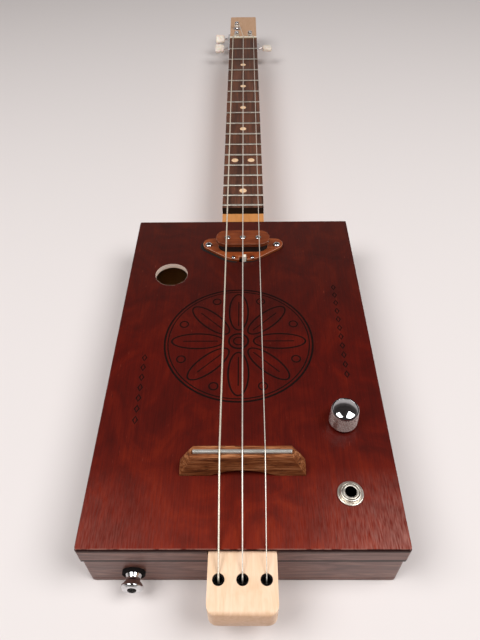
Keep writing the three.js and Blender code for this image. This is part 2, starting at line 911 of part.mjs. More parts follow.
function ringShape() {
  const shape = new THREE.Shape();
  const lowAngle = -Math.PI * 0.3;
  const lowX = earX + earRadius * Math.cos(lowAngle);
  const lowY = earY + earRadius * Math.sin(lowAngle);
  const meetX = lowX + (lowY + ringFront) * Math.tan(lowAngle);
  const noseShare = 0.3;
  const noseX = blend(meetX, lowX, noseShare);
  const noseY = blend(-ringFront, lowY, noseShare);
  const noseHalf = (leverWidth + leverTravel) / 2 + noseGap;
  const noseTop = switchPlace - pickupPlace + leverDepth / 2 + noseGap;
  const backShare = 0.6;
  shape.moveTo(-noseHalf, -ringFront);
  shape.lineTo(-noseHalf, noseTop);
  shape.lineTo(noseHalf, noseTop);
  shape.lineTo(noseHalf, -ringFront);
  shape.quadraticCurveTo(meetX, -ringFront, noseX, noseY);
  shape.lineTo(lowX, lowY);
  shape.absarc(earX, earY, earRadius, lowAngle, Math.PI / 2);
  shape.quadraticCurveTo(earX * backShare, ringBack, 0, ringBack);
  shape.quadraticCurveTo(-earX * backShare, ringBack, -earX, earY + earRadius);
  shape.absarc(-earX, earY, earRadius, Math.PI / 2, Math.PI - lowAngle);
  shape.lineTo(-noseX, noseY);
  shape.quadraticCurveTo(-meetX, -ringFront, -noseHalf, -ringFront);
  return shape;
}

function makePickupRing() {
  const shape = ringShape();
  const gap = 2 * runningGap;
  const holeLength = bobbinLength + gap;
  shape.holes.push(roundedRectangle(holeLength, bobbinWidth + gap, bobbinWidth / 2, 0, 0, 5));
  const geometry = slab(shape, boxHeight + seat, boxHeight + seat + ringThick, 6);
  geometry.translate(0, pickupPlace, 0);
  return geometry;
}

function withPoleHoles(shape, diameter) {
  for (const step of [-1, 0, 1]) {
    shape.holes.push(circle(diameter, step * poleSpacing, 0, 16));
  }
  return shape;
}

function makePickupBobbin() {
  const outline = roundedRectangle(bobbinLength, bobbinWidth, bobbinWidth / 2, 0, 0, 6);
  const shape = withPoleHoles(outline, poleShankDiameter + 2 * runningGap);
  const top = boxHeight + coverTop - coverThick - seat;
  const geometry = slab(shape, boxHeight - bobbinBelow, top, 6);
  geometry.translate(0, pickupPlace, 0);
  return geometry;
}

function makePickupCover() {
  const outline = roundedRectangle(coverLength, coverWidth, coverCornerRadius, 0, 0, 6);
  const shape = withPoleHoles(outline, poleHeadDiameter + 2 * runningGap);
  const geometry = slab(shape, boxHeight + coverTop - coverThick, boxHeight + coverTop, 6);
  geometry.translate(0, pickupPlace, 0);
  return geometry;
}

function makePole(step) {
  const top = boxHeight + coverTop + poleProud;
  const head = turned([
    [0, top - poleLength],
    [poleShankDiameter / 2, top - poleLength],
    [poleShankDiameter / 2, top - poleHeadThick],
    [poleHeadDiameter / 2, top - poleHeadThick],
    [poleHeadDiameter / 2, top],
    [0, top],
  ], 16);
  const slot = block(
    -poleHeadDiameter, poleHeadDiameter,
    -poleSlotWidth / 2, poleSlotWidth / 2,
    top - poleSlotDepth, top + overrun,
  );
  const geometry = cut(head, [slot]);
  geometry.translate(step * poleSpacing, pickupPlace, 0);
  return geometry;
}

function makeSwitchBody() {
  const top = panelBottom - seat;
  const body = block(
    -switchLength / 2 + seat, switchLength / 2 - seat,
    -switchWidth / 2, switchWidth / 2,
    top - switchDepth, top - switchEarThick / 2,
  );
  const earShape = roundedRectangle(switchEarLength, switchWidth, switchWidth / 3);
  for (const side of [-1, 1]) {
    earShape.holes.push(circle(switchScrewHole, (side * switchScrewSpacing) / 2, 0));
  }
  const ears = slab(earShape, top - switchEarThick, top, 4);
  const slot = block(
    -(leverWidth + leverTravel) / 2 - runningGap, (leverWidth + leverTravel) / 2 + runningGap,
    -leverDepth / 2 - runningGap, leverDepth / 2 + runningGap,
    boxHeight - leverBelow - runningGap, top + overrun,
  );
  const geometry = cut(join([body, ears]), [slot]);
  geometry.translate(0, switchPlace, 0);
  return geometry;
}

function makeSwitchLever() {
  const geometry = slab(
    roundedRectangle(leverWidth, leverDepth, leverWidth / 4),
    boxHeight - leverBelow,
    boxHeight + leverTop,
    2,
  );
  geometry.translate(leverRest, switchPlace, 0);
  return geometry;
}

// Volume pot, knob, jack and strap button

function makePotBody() {
  const canTop = panelBottom - seat;
  const bushTop = boxHeight + potBushProud;
  const boreRadius = potShaftDiameter / 2 + runningGap;
  const geometry = turned([
    [0, canTop - potCanHeight],
    [potCanDiameter / 2, canTop - potCanHeight],
    [potCanDiameter / 2, canTop],
    [potBushDiameter / 2, canTop],
    [potBushDiameter / 2, bushTop],
    [boreRadius, bushTop],
    [boreRadius, canTop - potCanHeight / 2],
    [0, canTop - potCanHeight / 2],
  ], 24);
  geometry.translate(potX, potY, 0);
  return geometry;
}

function makePotNut() {
  const shape = new THREE.Shape();
  const corner = potNutFlats / Math.sqrt(3);
  for (let i = 0; i < 6; i++) {
    const angle = (i * Math.PI) / 3;
    const x = corner * Math.cos(angle);
    const y = corner * Math.sin(angle);
    if (i === 0) {
      shape.moveTo(x, y);
    } else {
      shape.lineTo(x, y);
    }
  }
  shape.holes.push(circle(potBushDiameter + 2 * seat));
  const geometry = slab(shape, boxHeight + seat, boxHeight + seat + potNutThick, 8);
  geometry.translate(potX, potY, 0);
  return geometry;
}

function makePotShaft() {
  const bottom = panelBottom - seat - potCanHeight / 2 + runningGap;
  const geometry = rod(potShaftDiameter, bottom, boxHeight + potShaftProud, 20);
  geometry.translate(potX, potY, 0);
  return geometry;
}

function makeVolumeKnob() {
  const bottom = boxHeight + knobLift;
  const top = boxHeight + knobHeight;
  const socket = potShaftDiameter / 2 + seat;
  const domeSteps = 4;
  const shoulder = top - knobDome;
  const profile = [
    [0, bottom + knobSocketDepth],
    [socket, bottom + knobSocketDepth],
    [socket, bottom + knobHollowDepth],
    [knobHollowDiameter / 2, bottom + knobHollowDepth],
    [knobHollowDiameter / 2, bottom],
    [knobBaseDiameter / 2, bottom],
    [knobBaseDiameter / 2, bottom + knobSkirt],
    [knobTopDiameter / 2, bottom + knobSkirt],
  ];
  for (let i = 0; i <= domeSteps; i++) {
    const angle = (i / domeSteps) * (Math.PI / 2);
    const radius = (knobTopDiameter / 2) * Math.cos(angle);
    profile.push([i === domeSteps ? 0 : radius, shoulder + knobDome * Math.sin(angle)]);
  }
  const geometry = turned(profile, 28);
  geometry.translate(potX, potY, 0);
  return geometry;
}

function makeJackBody() {
  const flangeTop = panelBottom - seat;
  const barrelTop = flangeTop - jackFlangeThick;
  const bore = jackBoreDiameter / 2;
  const geometry = turned([
    [0, barrelTop - jackBarrelLength],
    [jackBarrelDiameter / 2, barrelTop - jackBarrelLength],
    [jackBarrelDiameter / 2, barrelTop],
    [jackFlangeDiameter / 2, barrelTop],
    [jackFlangeDiameter / 2, flangeTop],
    [jackBushDiameter / 2, flangeTop],
    [jackBushDiameter / 2, boxHeight + jackProud],
    [bore, boxHeight + jackProud],
    [bore, barrelTop - jackBarrelLength + jackEndThick],
    [0, barrelTop - jackBarrelLength + jackEndThick],
  ], 24);
  geometry.translate(jackX, jackY, 0);
  return geometry;
}

function jackRing(diameter, thick, bottom) {
  const bore = jackBushDiameter / 2 + seat;
  const chamfer = thick / 3;
  const geometry = turned([
    [bore, bottom],
    [diameter / 2, bottom],
    [diameter / 2, bottom + thick - chamfer],
    [diameter / 2 - chamfer, bottom + thick],
    [bore, bottom + thick],
    [bore, bottom],
  ], 28);
  geometry.translate(jackX, jackY, 0);
  return geometry;
}

function makeStrapButton() {
  const waist = strapWaistDiameter / 2;
  const geometry = turned([
    [0, 0],
    [strapBaseDiameter / 2, 0],
    [strapBaseDiameter / 2, strapBaseThick],
    [waist, strapLength / 3],
    [waist, strapLength / 2],
    [strapHeadDiameter / 2, strapLength - strapHeadThick],
    [strapHeadDiameter / 2, strapLength - strapHeadThick / 2],
    [strapHeadDiameter / 2 - strapHeadThick / 2, strapLength],
    [0, strapLength],
  ], 24);
  geometry.rotateX(Math.PI / 2);
  geometry.translate(strapX, boxTail + trayInset - seat, strapHeight);
  return geometry;
}

// Tuners

function gearShape() {
  const points = [];
  const outer = gearPitchRadius + toothAddendum;
  const root = gearPitchRadius - toothDedendum;
  const toothAngle = (2 * Math.PI) / gearTeeth;
  const slack = toothClearance / gearPitchRadius / 2;
  const rootShare = 0.4;
  const tipShare = 0.13;
  for (let i = 0; i < gearTeeth; i++) {
    const middle = i * toothAngle;
    const rootHalf = toothAngle * rootShare - slack;
    const tipHalf = toothAngle * tipShare - slack;
    const stops = [[-rootHalf, root], [-tipHalf, outer], [tipHalf, outer], [rootHalf, root]];
    for (const [angle, radius] of stops) {
      points.push([radius * Math.cos(middle + angle), radius * Math.sin(middle + angle)]);
    }
  }
  return pathOf(points);
}

// The gear's teeth lean by the worm's lead angle, and one tooth faces the worm at rest
function makeGear(lean) {
  const geometry = new THREE.ExtrudeGeometry(gearShape(), {
    depth: gearThick,
    bevelEnabled: false,
    steps: 2,
  });
  geometry.translate(0, 0, -gearThick / 2);
  const places = geometry.attributes.position;
  const rest = Math.PI / 2;
  for (let i = 0; i < places.count; i++) {
    const turn = rest + (lean * places.getZ(i)) / gearPitchRadius;
    const x = places.getX(i);
    const y = places.getY(i);
    places.setX(i, x * Math.cos(turn) - y * Math.sin(turn));
    places.setY(i, x * Math.sin(turn) + y * Math.cos(turn));
  }
  return geometry;
}

// A single-start thread about X: its profile steps along with the angle, then both ends are cut square
function makeThread() {
  const crest = wormPitchDiameter / 2 + toothAddendum;
  const root = wormShaftDiameter / 2;
  const crestShare = 0.11;
  const rootShare = 0.39;
  const profileShares = [
    [-rootShare, root],
    [-crestShare, crest],
    [crestShare, crest],
    [rootShare, root],
  ];
  const turns = Math.ceil(wormLength / toothPitch) + 3;
  const perTurn = profileShares.length;
  const positions = [];
  const indices = [];
  const firstTurn = -Math.floor(turns / 2);
  for (let turn = 0; turn < turns; turn++) {
    for (let k = 0; k < perTurn; k++) {
      for (let i = 0; i < wormSteps; i++) {
        const angle = (i / wormSteps) * Math.PI * 2;
        const [share, radius] = profileShares[k];
        const x = (firstTurn + turn + share + i / wormSteps) * toothPitch;
        positions.push(x, radius * Math.cos(angle), radius * Math.sin(angle));
      }
    }
  }
  const rows = turns * perTurn;
  const vertex = (row, i) => (i < wormSteps ? row * wormSteps + i : (row + perTurn) * wormSteps);
  for (let row = 0; row < rows - 1; row++) {
    for (let i = 0; i < wormSteps; i++) {
      const wraps = i === wormSteps - 1;
      if (wraps && row + 1 + perTurn >= rows) {
        continue;
      }
      const a = vertex(row, i);
      const b = vertex(row, i + 1);
      const c = vertex(row + 1, i + 1);
      const d = vertex(row + 1, i);
      indices.push(a, b, c, a, c, d);
    }
  }
  const startLoop = [];
  for (let i = 0; i < wormSteps; i++) {
    startLoop.push(vertex(0, i));
  }
  for (let k = perTurn; k > 0; k--) {
    startLoop.push(vertex(k, 0));
  }
  const endLoop = [];
  for (let i = 0; i < wormSteps; i++) {
    endLoop.push(vertex(rows - 1, i));
  }
  for (let k = 1; k <= perTurn; k++) {
    endLoop.push(vertex(rows - 1 - k, wormSteps - 1));
  }
  const caps = [[startLoop, firstTurn - 1, true], [endLoop, firstTurn + turns + 1, false]];
  for (const [loop, place, first] of caps) {
    const hub = positions.length / 3;
    positions.push(place * toothPitch, 0, 0);
    for (let i = 0; i < loop.length; i++) {
      const a = loop[i];
      const b = loop[(i + 1) % loop.length];
      if (first) {
        indices.push(hub, b, a);
      } else {
        indices.push(hub, a, b);
      }
    }
  }
  const geometry = new THREE.BufferGeometry();
  geometry.setAttribute('position', new THREE.Float32BufferAttribute(positions, 3));
  geometry.setIndex(indices);
  const bounds = rodAlongX(wormPitchDiameter * 2, -wormLength / 2, wormLength / 2, 8);
  return trim(geometry, bounds);
}

function makeTunerPlate(tuner) {
  const bottom = tunerPlateTop - tunerPlateThick;
  const length = tunerPlateTail + wormOffset + tunerPlateNose;
  const middle = (wormOffset + tunerPlateNose - tunerPlateTail) / 2;
  const width = tunerPlateInner + tunerPlateOuter;
  const centre = tuner.side * (tunerPlateOuter - width / 2);
  const outline = roundedRectangle(width, length, tunerPlateThick * 2, centre, middle);
  outline.holes.push(circle(postDiameter + 2 * runningGap));
  const plate = slab(outline, bottom, tunerPlateTop, 4);
  const lug = new THREE.Shape();
  lug.moveTo(wormOffset + lugHalf, bottom + tunerPlateThick / 2);
  lug.lineTo(wormOffset - lugHalf, bottom + tunerPlateThick / 2);
  lug.lineTo(wormOffset - lugHalf, wormHeight);
  lug.absarc(wormOffset, wormHeight, lugHalf, Math.PI, Math.PI * 2);
  const lugs = [];
  const innerLugEnd = wormLength / 2 + runningGap + lugThick;
  for (const [side, end] of [[-tuner.side, innerLugEnd], [tuner.side, outerLugEnd]]) {
    const start = side > 0 ? end - lugThick : -end;
    lugs.push(extrudeAlongX(lug, start, start + lugThick, 6));
  }
  const reach = outerLugEnd + overrun;
  const bearing = rodAlongX(wormShaftDiameter + 2 * runningGap, -reach, reach, 16);
  bearing.translate(0, wormOffset, wormHeight);
  const geometry = cut(join([plate, ...lugs]), [bearing]);
  geometry.translate(tuner.x, tuner.y, 0);
  return geometry;
}

function makeTunerPost(tuner) {
  const radius = postDiameter / 2;
  const waist = postWaistDiameter / 2;
  const gearBottom = wormHeight - gearThick / 2;
  const post = turned([
    [0, gearBottom - postScrewThick],
    [postScrewDiameter / 2, gearBottom - postScrewThick],
    [postScrewDiameter / 2, gearBottom + gearThick / 2],
    [radius, gearBottom + gearThick / 2],
    [radius, neckTop + postWaistLow],
    [waist, neckTop + postWaistLow + (radius - waist)],
    [waist, neckTop + postWaistHigh],
    [radius, neckTop + postWaistHigh + (radius - waist)],
    [radius, neckTop + postProud - postCapHeight / 2],
    [radius - postCapHeight / 2, neckTop + postProud],
    [0, neckTop + postProud],
  ], 20);
  const gear = makeGear(gearLean);
  gear.translate(0, 0, wormHeight);
  const geometry = join([post, gear]);
  geometry.translate(tuner.x, tuner.y, 0);
  return geometry;
}

function makeTunerWorm(tuner) {
  const innerEnd = wormLength / 2 + 2 * runningGap + lugThick;
  const outerEnd = outerLugEnd + runningGap;
  const reach = buttonStart - tunerX + buttonSocket - runningGap;
  const outward = (diameter, start, end) => {
    const [from, to] = tuner.side > 0 ? [start, end] : [-end, -start];
    return rodAlongX(diameter, from, to, 16);
  };
  const geometry = join([
    makeThread(),
    outward(wormShaftDiameter, -innerEnd - wormCollarThick / 2, reach),
    outward(wormCollarDiameter, -innerEnd - wormCollarThick, -innerEnd),
    outward(wormCollarDiameter, outerEnd, outerEnd + wormCollarThick),
  ]);
  geometry.translate(tuner.x, tuner.y + wormOffset, wormHeight);
  return geometry;
}

// The button is a small flat block with rounded edges, a little narrower at its neck
function makeTunerButton(tuner, turn) {
  const swellShares = [
    [0, 0.6, 0.72],
    [0.06, 0.74, 0.88],
    [0.22, 0.88, 0.96],
    [0.45, 0.96, 1],
    [0.7, 1, 1],
    [0.88, 0.99, 0.97],
    [0.96, 0.93, 0.86],
    [1, 0.8, 0.66],
  ];
  const count = 16;
  const rings = swellShares.map(([along, wide, thick]) => {
    const ring = [];
    for (let i = 0; i < count; i++) {
      const angle = (i / count) * Math.PI * 2;
      const c = Math.cos(angle);
      const s = Math.sin(angle);
      const square = 0.42;
      const y = Math.sign(c) * Math.abs(c) ** square * wide * (buttonWidth / 2);
      const z = Math.sign(s) * Math.abs(s) ** square * thick * (buttonThick / 2);
      ring.push(new THREE.Vector3(along * buttonLength, y, z));
    }
    return ring;
  });
  const socket = rodAlongX(wormShaftDiameter + 2 * seat, -overrun, buttonSocket, 16);
  const geometry = cut(loft(rings), [socket]);
  geometry.rotateX(turn);
  geometry.translate(buttonStart, 0, 0);
  if (tuner.side < 0) {
    geometry.rotateZ(Math.PI);
  }
  geometry.translate(0, tuner.y + wormOffset, wormHeight);
  return geometry;
}

// What the pieces share: where each tuner stands and each string runs

const tuners = [
  { name: 'left_near', side: -1, x: -tunerX, y: nutPlace + nearTunerOffset },
  { name: 'left_far', side: -1, x: -tunerX, y: nutPlace + farTunerOffset },
  { name: 'right', side: 1, x: tunerX, y: nutPlace + nearTunerOffset },
];
const gearLean = toothPitch / (Math.PI * wormPitchDiameter);

const stringNames = ['string_low', 'string_middle', 'string_high'];
const strings = stringDiameters.map((diameter, i) => ({
  name: stringNames[i],
  radius: diameter / 2,
  tailX: (i - 1) * tailSpacing,
  saddleX: (i - 1) * saddleSpacing,
  nutX: (i - 1) * nutSpacing,
  saddleZ: rodHeight + rodDiameter / 2 + stringGap + diameter / 2,
  nutZ: fretboardTop + nutAboveFretboard - diameter / 4,
}));

addPiece('tray_back', makeTrayBack(), 'rimWood');
addPiece('tray_walls', makeTrayWalls(), 'rimWood');
addPiece('lid_rim_left', makeLidRim(-1), 'rimWood');
addPiece('lid_rim_right', makeLidRim(1), 'rimWood');
addPiece('lid_panel', makeLidPanel(), 'boxWood');

addPiece('neck', makeNeck(), 'maple');
addPiece('fretboard', makeFretboard(), 'rosewood');
addPiece('nut', makeNut(), 'bone');
for (let number = 1; number <= fretCount; number++) {
  addPiece(`fret_${String(number).padStart(2, '0')}`, makeFret(number), 'nickel');
}

addPiece('bridge', makeBridge(), 'walnut');
addPiece('saddle_rod', makeSaddleRod(), 'nickel');

strings.forEach((string, i) => {
  const points = stringPoints(string, tuners[i]);
  addPiece(string.name, tube(points, string.radius, stringSides), 'steel');
  addPiece(`ferrule_${i + 1}`, makeFerrule(string), 'blackMetal');
  const gap = windingGap(points.slice(-windingTurns * windingSteps - 1), string.radius);
  console.log(`${string.name} winding gap ${gap.toFixed(2)} mm`);
});

addPiece('pickup_ring', makePickupRing(), 'redWood');
addPiece('pickup_bobbin', makePickupBobbin(), 'blackPlastic');
addPiece('pickup_cover', makePickupCover(), 'redWood');
for (const step of [-1, 0, 1]) {
  addPiece(`pickup_pole_${step + 2}`, makePole(step), 'chrome');
}
addPiece('switch_body', makeSwitchBody(), 'blackPlastic');
addPiece('switch_lever', makeSwitchLever(), 'whitePlastic');

addPiece('pot_body', makePotBody(), 'nickel');
addPiece('pot_nut', makePotNut(), 'nickel');
addPiece('pot_shaft', makePotShaft(), 'nickel');
addPiece('volume_knob', makeVolumeKnob(), 'chrome');

addPiece('jack_body', makeJackBody(), 'nickel');
addPiece('jack_washer', jackRing(jackWasherDiameter, jackWasherThick, boxHeight + seat), 'chrome');
const jackNutBottom = boxHeight + jackWasherThick + 2 * seat;
addPiece('jack_nut', jackRing(jackNutDiameter, jackNutThick, jackNutBottom), 'chrome');
addPiece('strap_button', makeStrapButton(), 'chrome');

tuners.forEach((tuner, i) => {
  addPiece(`tuner_plate_${tuner.name}`, makeTunerPlate(tuner), 'chrome');
  addPiece(`tuner_post_${tuner.name}`, makeTunerPost(tuner), 'chrome');
  addPiece(`tuner_worm_${tuner.name}`, makeTunerWorm(tuner), 'chrome');
  addPiece(`tuner_button_${tuner.name}`, makeTunerButton(tuner, buttonTurns[i]), 'cream');
});

export default guitar;
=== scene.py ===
import math

import bmesh
import bpy
from mathutils import Matrix, Vector


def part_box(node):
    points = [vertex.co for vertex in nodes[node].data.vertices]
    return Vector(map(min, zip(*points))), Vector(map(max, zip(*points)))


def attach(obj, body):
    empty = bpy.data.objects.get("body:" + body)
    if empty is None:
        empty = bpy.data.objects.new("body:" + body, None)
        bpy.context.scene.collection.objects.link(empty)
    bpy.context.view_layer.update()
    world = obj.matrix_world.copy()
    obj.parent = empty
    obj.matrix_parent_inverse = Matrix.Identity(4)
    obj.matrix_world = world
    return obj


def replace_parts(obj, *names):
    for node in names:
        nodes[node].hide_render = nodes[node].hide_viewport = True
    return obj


# Three-string cigar box guitar. New pieces are drawn in millimetres and turned to metres at the end.

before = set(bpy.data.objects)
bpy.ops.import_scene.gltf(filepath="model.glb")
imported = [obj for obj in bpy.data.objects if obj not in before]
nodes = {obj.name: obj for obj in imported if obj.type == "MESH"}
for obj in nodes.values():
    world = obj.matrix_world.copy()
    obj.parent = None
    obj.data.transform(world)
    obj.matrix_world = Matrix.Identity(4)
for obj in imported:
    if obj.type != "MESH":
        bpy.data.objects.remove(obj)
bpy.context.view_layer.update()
mm = 0.001    # a millimetre in metres
print("frame loaded:", len(nodes), "nodes")


# Camera at the photograph's place, worked out from the guitar's own edges

cameraSettings = {
    "place": (0.002728, -0.263239, 0.349779),
    "pitch": 46.494,    # degrees below the horizon
    "yaw": -0.9602,
    "roll": -0.9657,
    "lens": 32.02,
    "sensor": 36,
    "nearest": 0.01,    # metres
}

pitch, yaw, roll = (math.radians(cameraSettings[k]) for k in ("pitch", "yaw", "roll"))
ahead = Vector((math.sin(yaw) * math.cos(pitch), math.cos(yaw) * math.cos(pitch), -math.sin(pitch)))
across = Vector((math.cos(yaw), -math.sin(yaw), 0))
upward = across.cross(ahead)
right = across * math.cos(roll) + upward * math.sin(roll)
above = upward * math.cos(roll) - across * math.sin(roll)

cameraData = bpy.data.cameras.new("photoCamera")
cameraData.lens = cameraSettings["lens"]
cameraData.sensor_width = cameraSettings["sensor"]
cameraData.clip_start = cameraSettings["nearest"]
camera = bpy.data.objects.new("photoCamera", cameraData)
bpy.context.collection.objects.link(camera)
turnMatrix = Matrix((right, above, -ahead)).transposed().to_4x4()
camera.matrix_world = Matrix.Translation(cameraSettings["place"]) @ turnMatrix
bpy.context.scene.camera = camera
print("camera set")


# Small helpers for colours, nodes and masks

def hexColour(text):    # sRGB hex to linear
    channels = [int(text[i:i + 2], 16) / 255 for i in (1, 3, 5)]
    linear = [c / 12.92 if c <= 0.04045 else ((c + 0.055) / 1.055) ** 2.4 for c in channels]
    return (*linear, 1)


def addNode(tree, kind, inputs=None, links=None, stops=None, **settings):
    node = tree.nodes.new(kind)
    for name, value in settings.items():
        setattr(node, name, value)
    for socket, value in (inputs or {}).items():
        node.inputs[socket].default_value = value
    for socket, source in (links or {}).items():
        tree.links.new(source, node.inputs[socket])
    if stops:
        elements = node.color_ramp.elements
        while len(elements) < len(stops):
            elements.new(0.5)
        for element, (position, colour) in zip(elements, stops):
            element.position = position
            element.color = hexColour(colour)
    return node


def newMaterial(name, colour, sockets):
    material = bpy.data.materials.new(name)
    material.use_nodes = True
    shader = material.node_tree.nodes["Principled BSDF"]
    shader.inputs["Base Color"].default_value = hexColour(colour)
    for socket, value in sockets.items():
        shader.inputs[socket].default_value = value
    return material, material.node_tree, shader


# Lays another colour over a material's base colour where a mask is white
def mixOver(tree, shader, over, mask, share=1):
    mix = addNode(tree, "ShaderNodeMix", data_type="RGBA")
    tree.links.new(shader.inputs["Base Color"].links[0].from_socket, mix.inputs[6])
    if isinstance(over, str):
        mix.inputs[7].default_value = hexColour(over)
    else:
        tree.links.new(over, mix.inputs[7])
    if share < 1:
        mask = addNode(tree, "ShaderNodeMath", {1: share}, {0: mask}, operation="MULTIPLY").outputs[0]
    tree.links.new(mask, mix.inputs[0])
    tree.links.new(mix.outputs[2], shader.inputs["Base Color"])


# White inside a radius round an upright axis, in millimetres
def nearAxis(tree, x, y, radius):
    place = addNode(tree, "ShaderNodeTexCoord").outputs["Object"]
    flat = addNode(tree, "ShaderNodeVectorMath", {1: (1, 1, 0)}, {0: place}, operation="MULTIPLY").outputs[0]
    gap = addNode(tree, "ShaderNodeVectorMath", {1: (x * mm, y * mm, 0)}, {0: flat}, operation="DISTANCE")
    return addNode(tree, "ShaderNodeMath", {1: radius * mm}, {0: gap.outputs[1]}, operation="LESS_THAN").outputs[0]


# White inside a box centred on the origin's axis: half width, half length, bottom and top, in millimetres
def insideBox(tree, halfWidth, halfLength, bottom, top):
    place = addNode(tree, "ShaderNodeTexCoord").outputs["Object"]
    middle = (0, 0, (bottom + top) / 2 * mm)
    offset = addNode(tree, "ShaderNodeVectorMath", {1: middle}, {0: place}, operation="SUBTRACT").outputs[0]
    size = addNode(tree, "ShaderNodeVectorMath", links={0: offset}, operation="ABSOLUTE").outputs[0]
    parts = addNode(tree, "ShaderNodeSeparateXYZ", links={0: size}).outputs
    mask = None
    for part, limit in zip(parts, (halfWidth, halfLength, (top - bottom) / 2)):
        side = addNode(tree, "ShaderNodeMath", {1: limit * mm}, {0: part}, operation="LESS_THAN").outputs[0]
        mask = bothMasks(tree, mask, side) if mask else side
    return mask


# A colour ramp along one axis of the object, from one place to another in millimetres
def rampAlong(tree, axis, start, end, stops):
    place = addNode(tree, "ShaderNodeTexCoord").outputs["Object"]
    part = addNode(tree, "ShaderNodeSeparateXYZ", links={0: place}).outputs[axis]
    share = addNode(tree, "ShaderNodeMapRange", {1: start * mm, 2: end * mm}, {0: part}).outputs[0]
    return addNode(tree, "ShaderNodeValToRGB", links={0: share}, stops=stops).outputs[0]


# Multiplies a material's base colour by a tint
def tinted(tree, shader, tint):
    base = shader.inputs["Base Color"].links[0].from_socket
    mix = addNode(tree, "ShaderNodeMix", {0: 1}, {6: base, 7: tint}, data_type="RGBA", blend_type="MULTIPLY")
    tree.links.new(mix.outputs[2], shader.inputs["Base Color"])


def inverted(tree, mask):
    return addNode(tree, "ShaderNodeMath", {0: 1}, {1: mask}, operation="SUBTRACT").outputs[0]


def bothMasks(tree, first, second):
    return addNode(tree, "ShaderNodeMath", links={0: first, 1: second}, operation="MULTIPLY").outputs[0]


# White where a noise rises through a range. Its grains are so many millimetres long in X, Y and Z
def noiseMask(tree, size, detail, low, high, turn=0):
    place = addNode(tree, "ShaderNodeTexCoord").outputs["Object"]
    mapping = {"Rotation": (0, 0, turn), "Scale": [1 / (length * mm) for length in size]}
    stretched = addNode(tree, "ShaderNodeMapping", mapping, {"Vector": place}).outputs[0]
    noise = addNode(tree, "ShaderNodeTexNoise", {"Scale": 1, "Detail": detail}, {"Vector": stretched}).outputs[0]
    return addNode(tree, "ShaderNodeMapRange", {1: low, 2: high}, {0: noise}).outputs[0]


# Takes the lacquer off where a mask is white
def uncoated(tree, shader, mask):
    coat = shader.inputs["Coat Weight"]
    left = addNode(tree, "ShaderNodeMath", {1: coat.default_value}, {0: inverted(tree, mask)}, operation="MULTIPLY")
    tree.links.new(left.outputs[0], coat)


# Wood: fibres stretched along the grain, darker pores, and broad figure across the board

woodSettings = {    # what all the woods share
    "noiseRoughness": 0.6, "fibreDetail": 5, "figureDetail": 3, "poreDetail": 2, "toneStops": (0.36, 0.5, 0.64),
    "poreEdge": 0.1, "fibreRange": (0.3, 0.7), "smoother": 0.08, "rougher": 0.1, "relief": 0.1, "endFacing": 0.6,
}


def makeWood(name, s):
    shared = woodSettings
    material, tree, shader = newMaterial(name, s["middle"], {
        "Roughness": s["roughness"],
        "Specular IOR Level": s.get("shine", 0.5),
        "Coat Weight": s.get("coat", 0),
        "Coat Roughness": s.get("coatRoughness", 0.15),
    })
    place = addNode(tree, "ShaderNodeTexCoord").outputs["Object"]
    turned = addNode(tree, "ShaderNodeMapping", {"Rotation": s.get("turn", (0, 0, 0))}, {"Vector": place}).outputs[0]
    if s.get("turnedEndsOnly"):    # boards that face along Y keep the turned grain, the others run along Y
        normal = addNode(tree, "ShaderNodeNewGeometry").outputs["True Normal"]
        sizes = addNode(tree, "ShaderNodeVectorMath", links={0: normal}, operation="ABSOLUTE").outputs[0]
        alongY = addNode(tree, "ShaderNodeSeparateXYZ", links={0: sizes}).outputs[1]
        facesEnd = addNode(tree, "ShaderNodeMath", {1: shared["endFacing"]}, {0: alongY}, operation="GREATER_THAN")
        turned = addNode(tree, "ShaderNodeMix", links={0: facesEnd.outputs[0], 4: place, 5: turned},
                         data_type="VECTOR").outputs[1]

    def grain(width, length, detail, distortion=0):
        scale = (1 / (width * mm), 1 / (length * mm), 1 / (width * mm))
        stretched = addNode(tree, "ShaderNodeMapping", {"Scale": scale}, {"Vector": turned}).outputs[0]
        inputs = {"Scale": 1, "Detail": detail, "Roughness": shared["noiseRoughness"], "Distortion": distortion}
        return addNode(tree, "ShaderNodeTexNoise", inputs, {"Vector": stretched}).outputs[0]

    fibre = grain(*s["fibre"], shared["fibreDetail"])
    figure = grain(*s["figure"], shared["figureDetail"], s.get("waviness", 0.6))
    pores = grain(*s["pores"], shared["poreDetail"])
    tone = addNode(tree, "ShaderNodeMix", {0: s["figureShare"]}, {2: fibre, 3: figure}).outputs[0]
    stops = list(zip(shared["toneStops"], (s["dark"], s["middle"], s["light"])))
    colours = addNode(tree, "ShaderNodeValToRGB", links={0: tone}, stops=stops).outputs[0]
    poreRange = {1: s["poreStart"], 2: s["poreStart"] + shared["poreEdge"]}
    poreMask = addNode(tree, "ShaderNodeMapRange", poreRange, {0: pores}).outputs[0]
    pored = addNode(tree, "ShaderNodeMix", {7: hexColour(s["pore"])}, {0: poreMask, 6: colours}, data_type="RGBA")
    tree.links.new(pored.outputs[2], shader.inputs["Base Color"])
    low, high = shared["fibreRange"]
    rough = addNode(tree, "ShaderNodeMapRange", {
        1: low, 2: high, 3: s["roughness"] - shared["smoother"], 4: s["roughness"] + shared["rougher"]}, {0: fibre})
    tree.links.new(rough.outputs[0], shader.inputs["Roughness"])
    depth = addNode(tree, "ShaderNodeMath", {1: s["poreDepth"]}, {0: poreMask}, operation="MULTIPLY").outputs[0]
    height = addNode(tree, "ShaderNodeMath", links={0: fibre, 1: depth}, operation="SUBTRACT").outputs[0]
    bump = addNode(tree, "ShaderNodeBump", {"Strength": s["bump"], "Distance": shared["relief"] * mm},
                   {"Height": height})
    tree.links.new(bump.outputs[0], shader.inputs["Normal"])
    if s.get("coat"):
        tree.links.new(bump.outputs[0], shader.inputs["Coat Normal"])
    return material, tree, shader


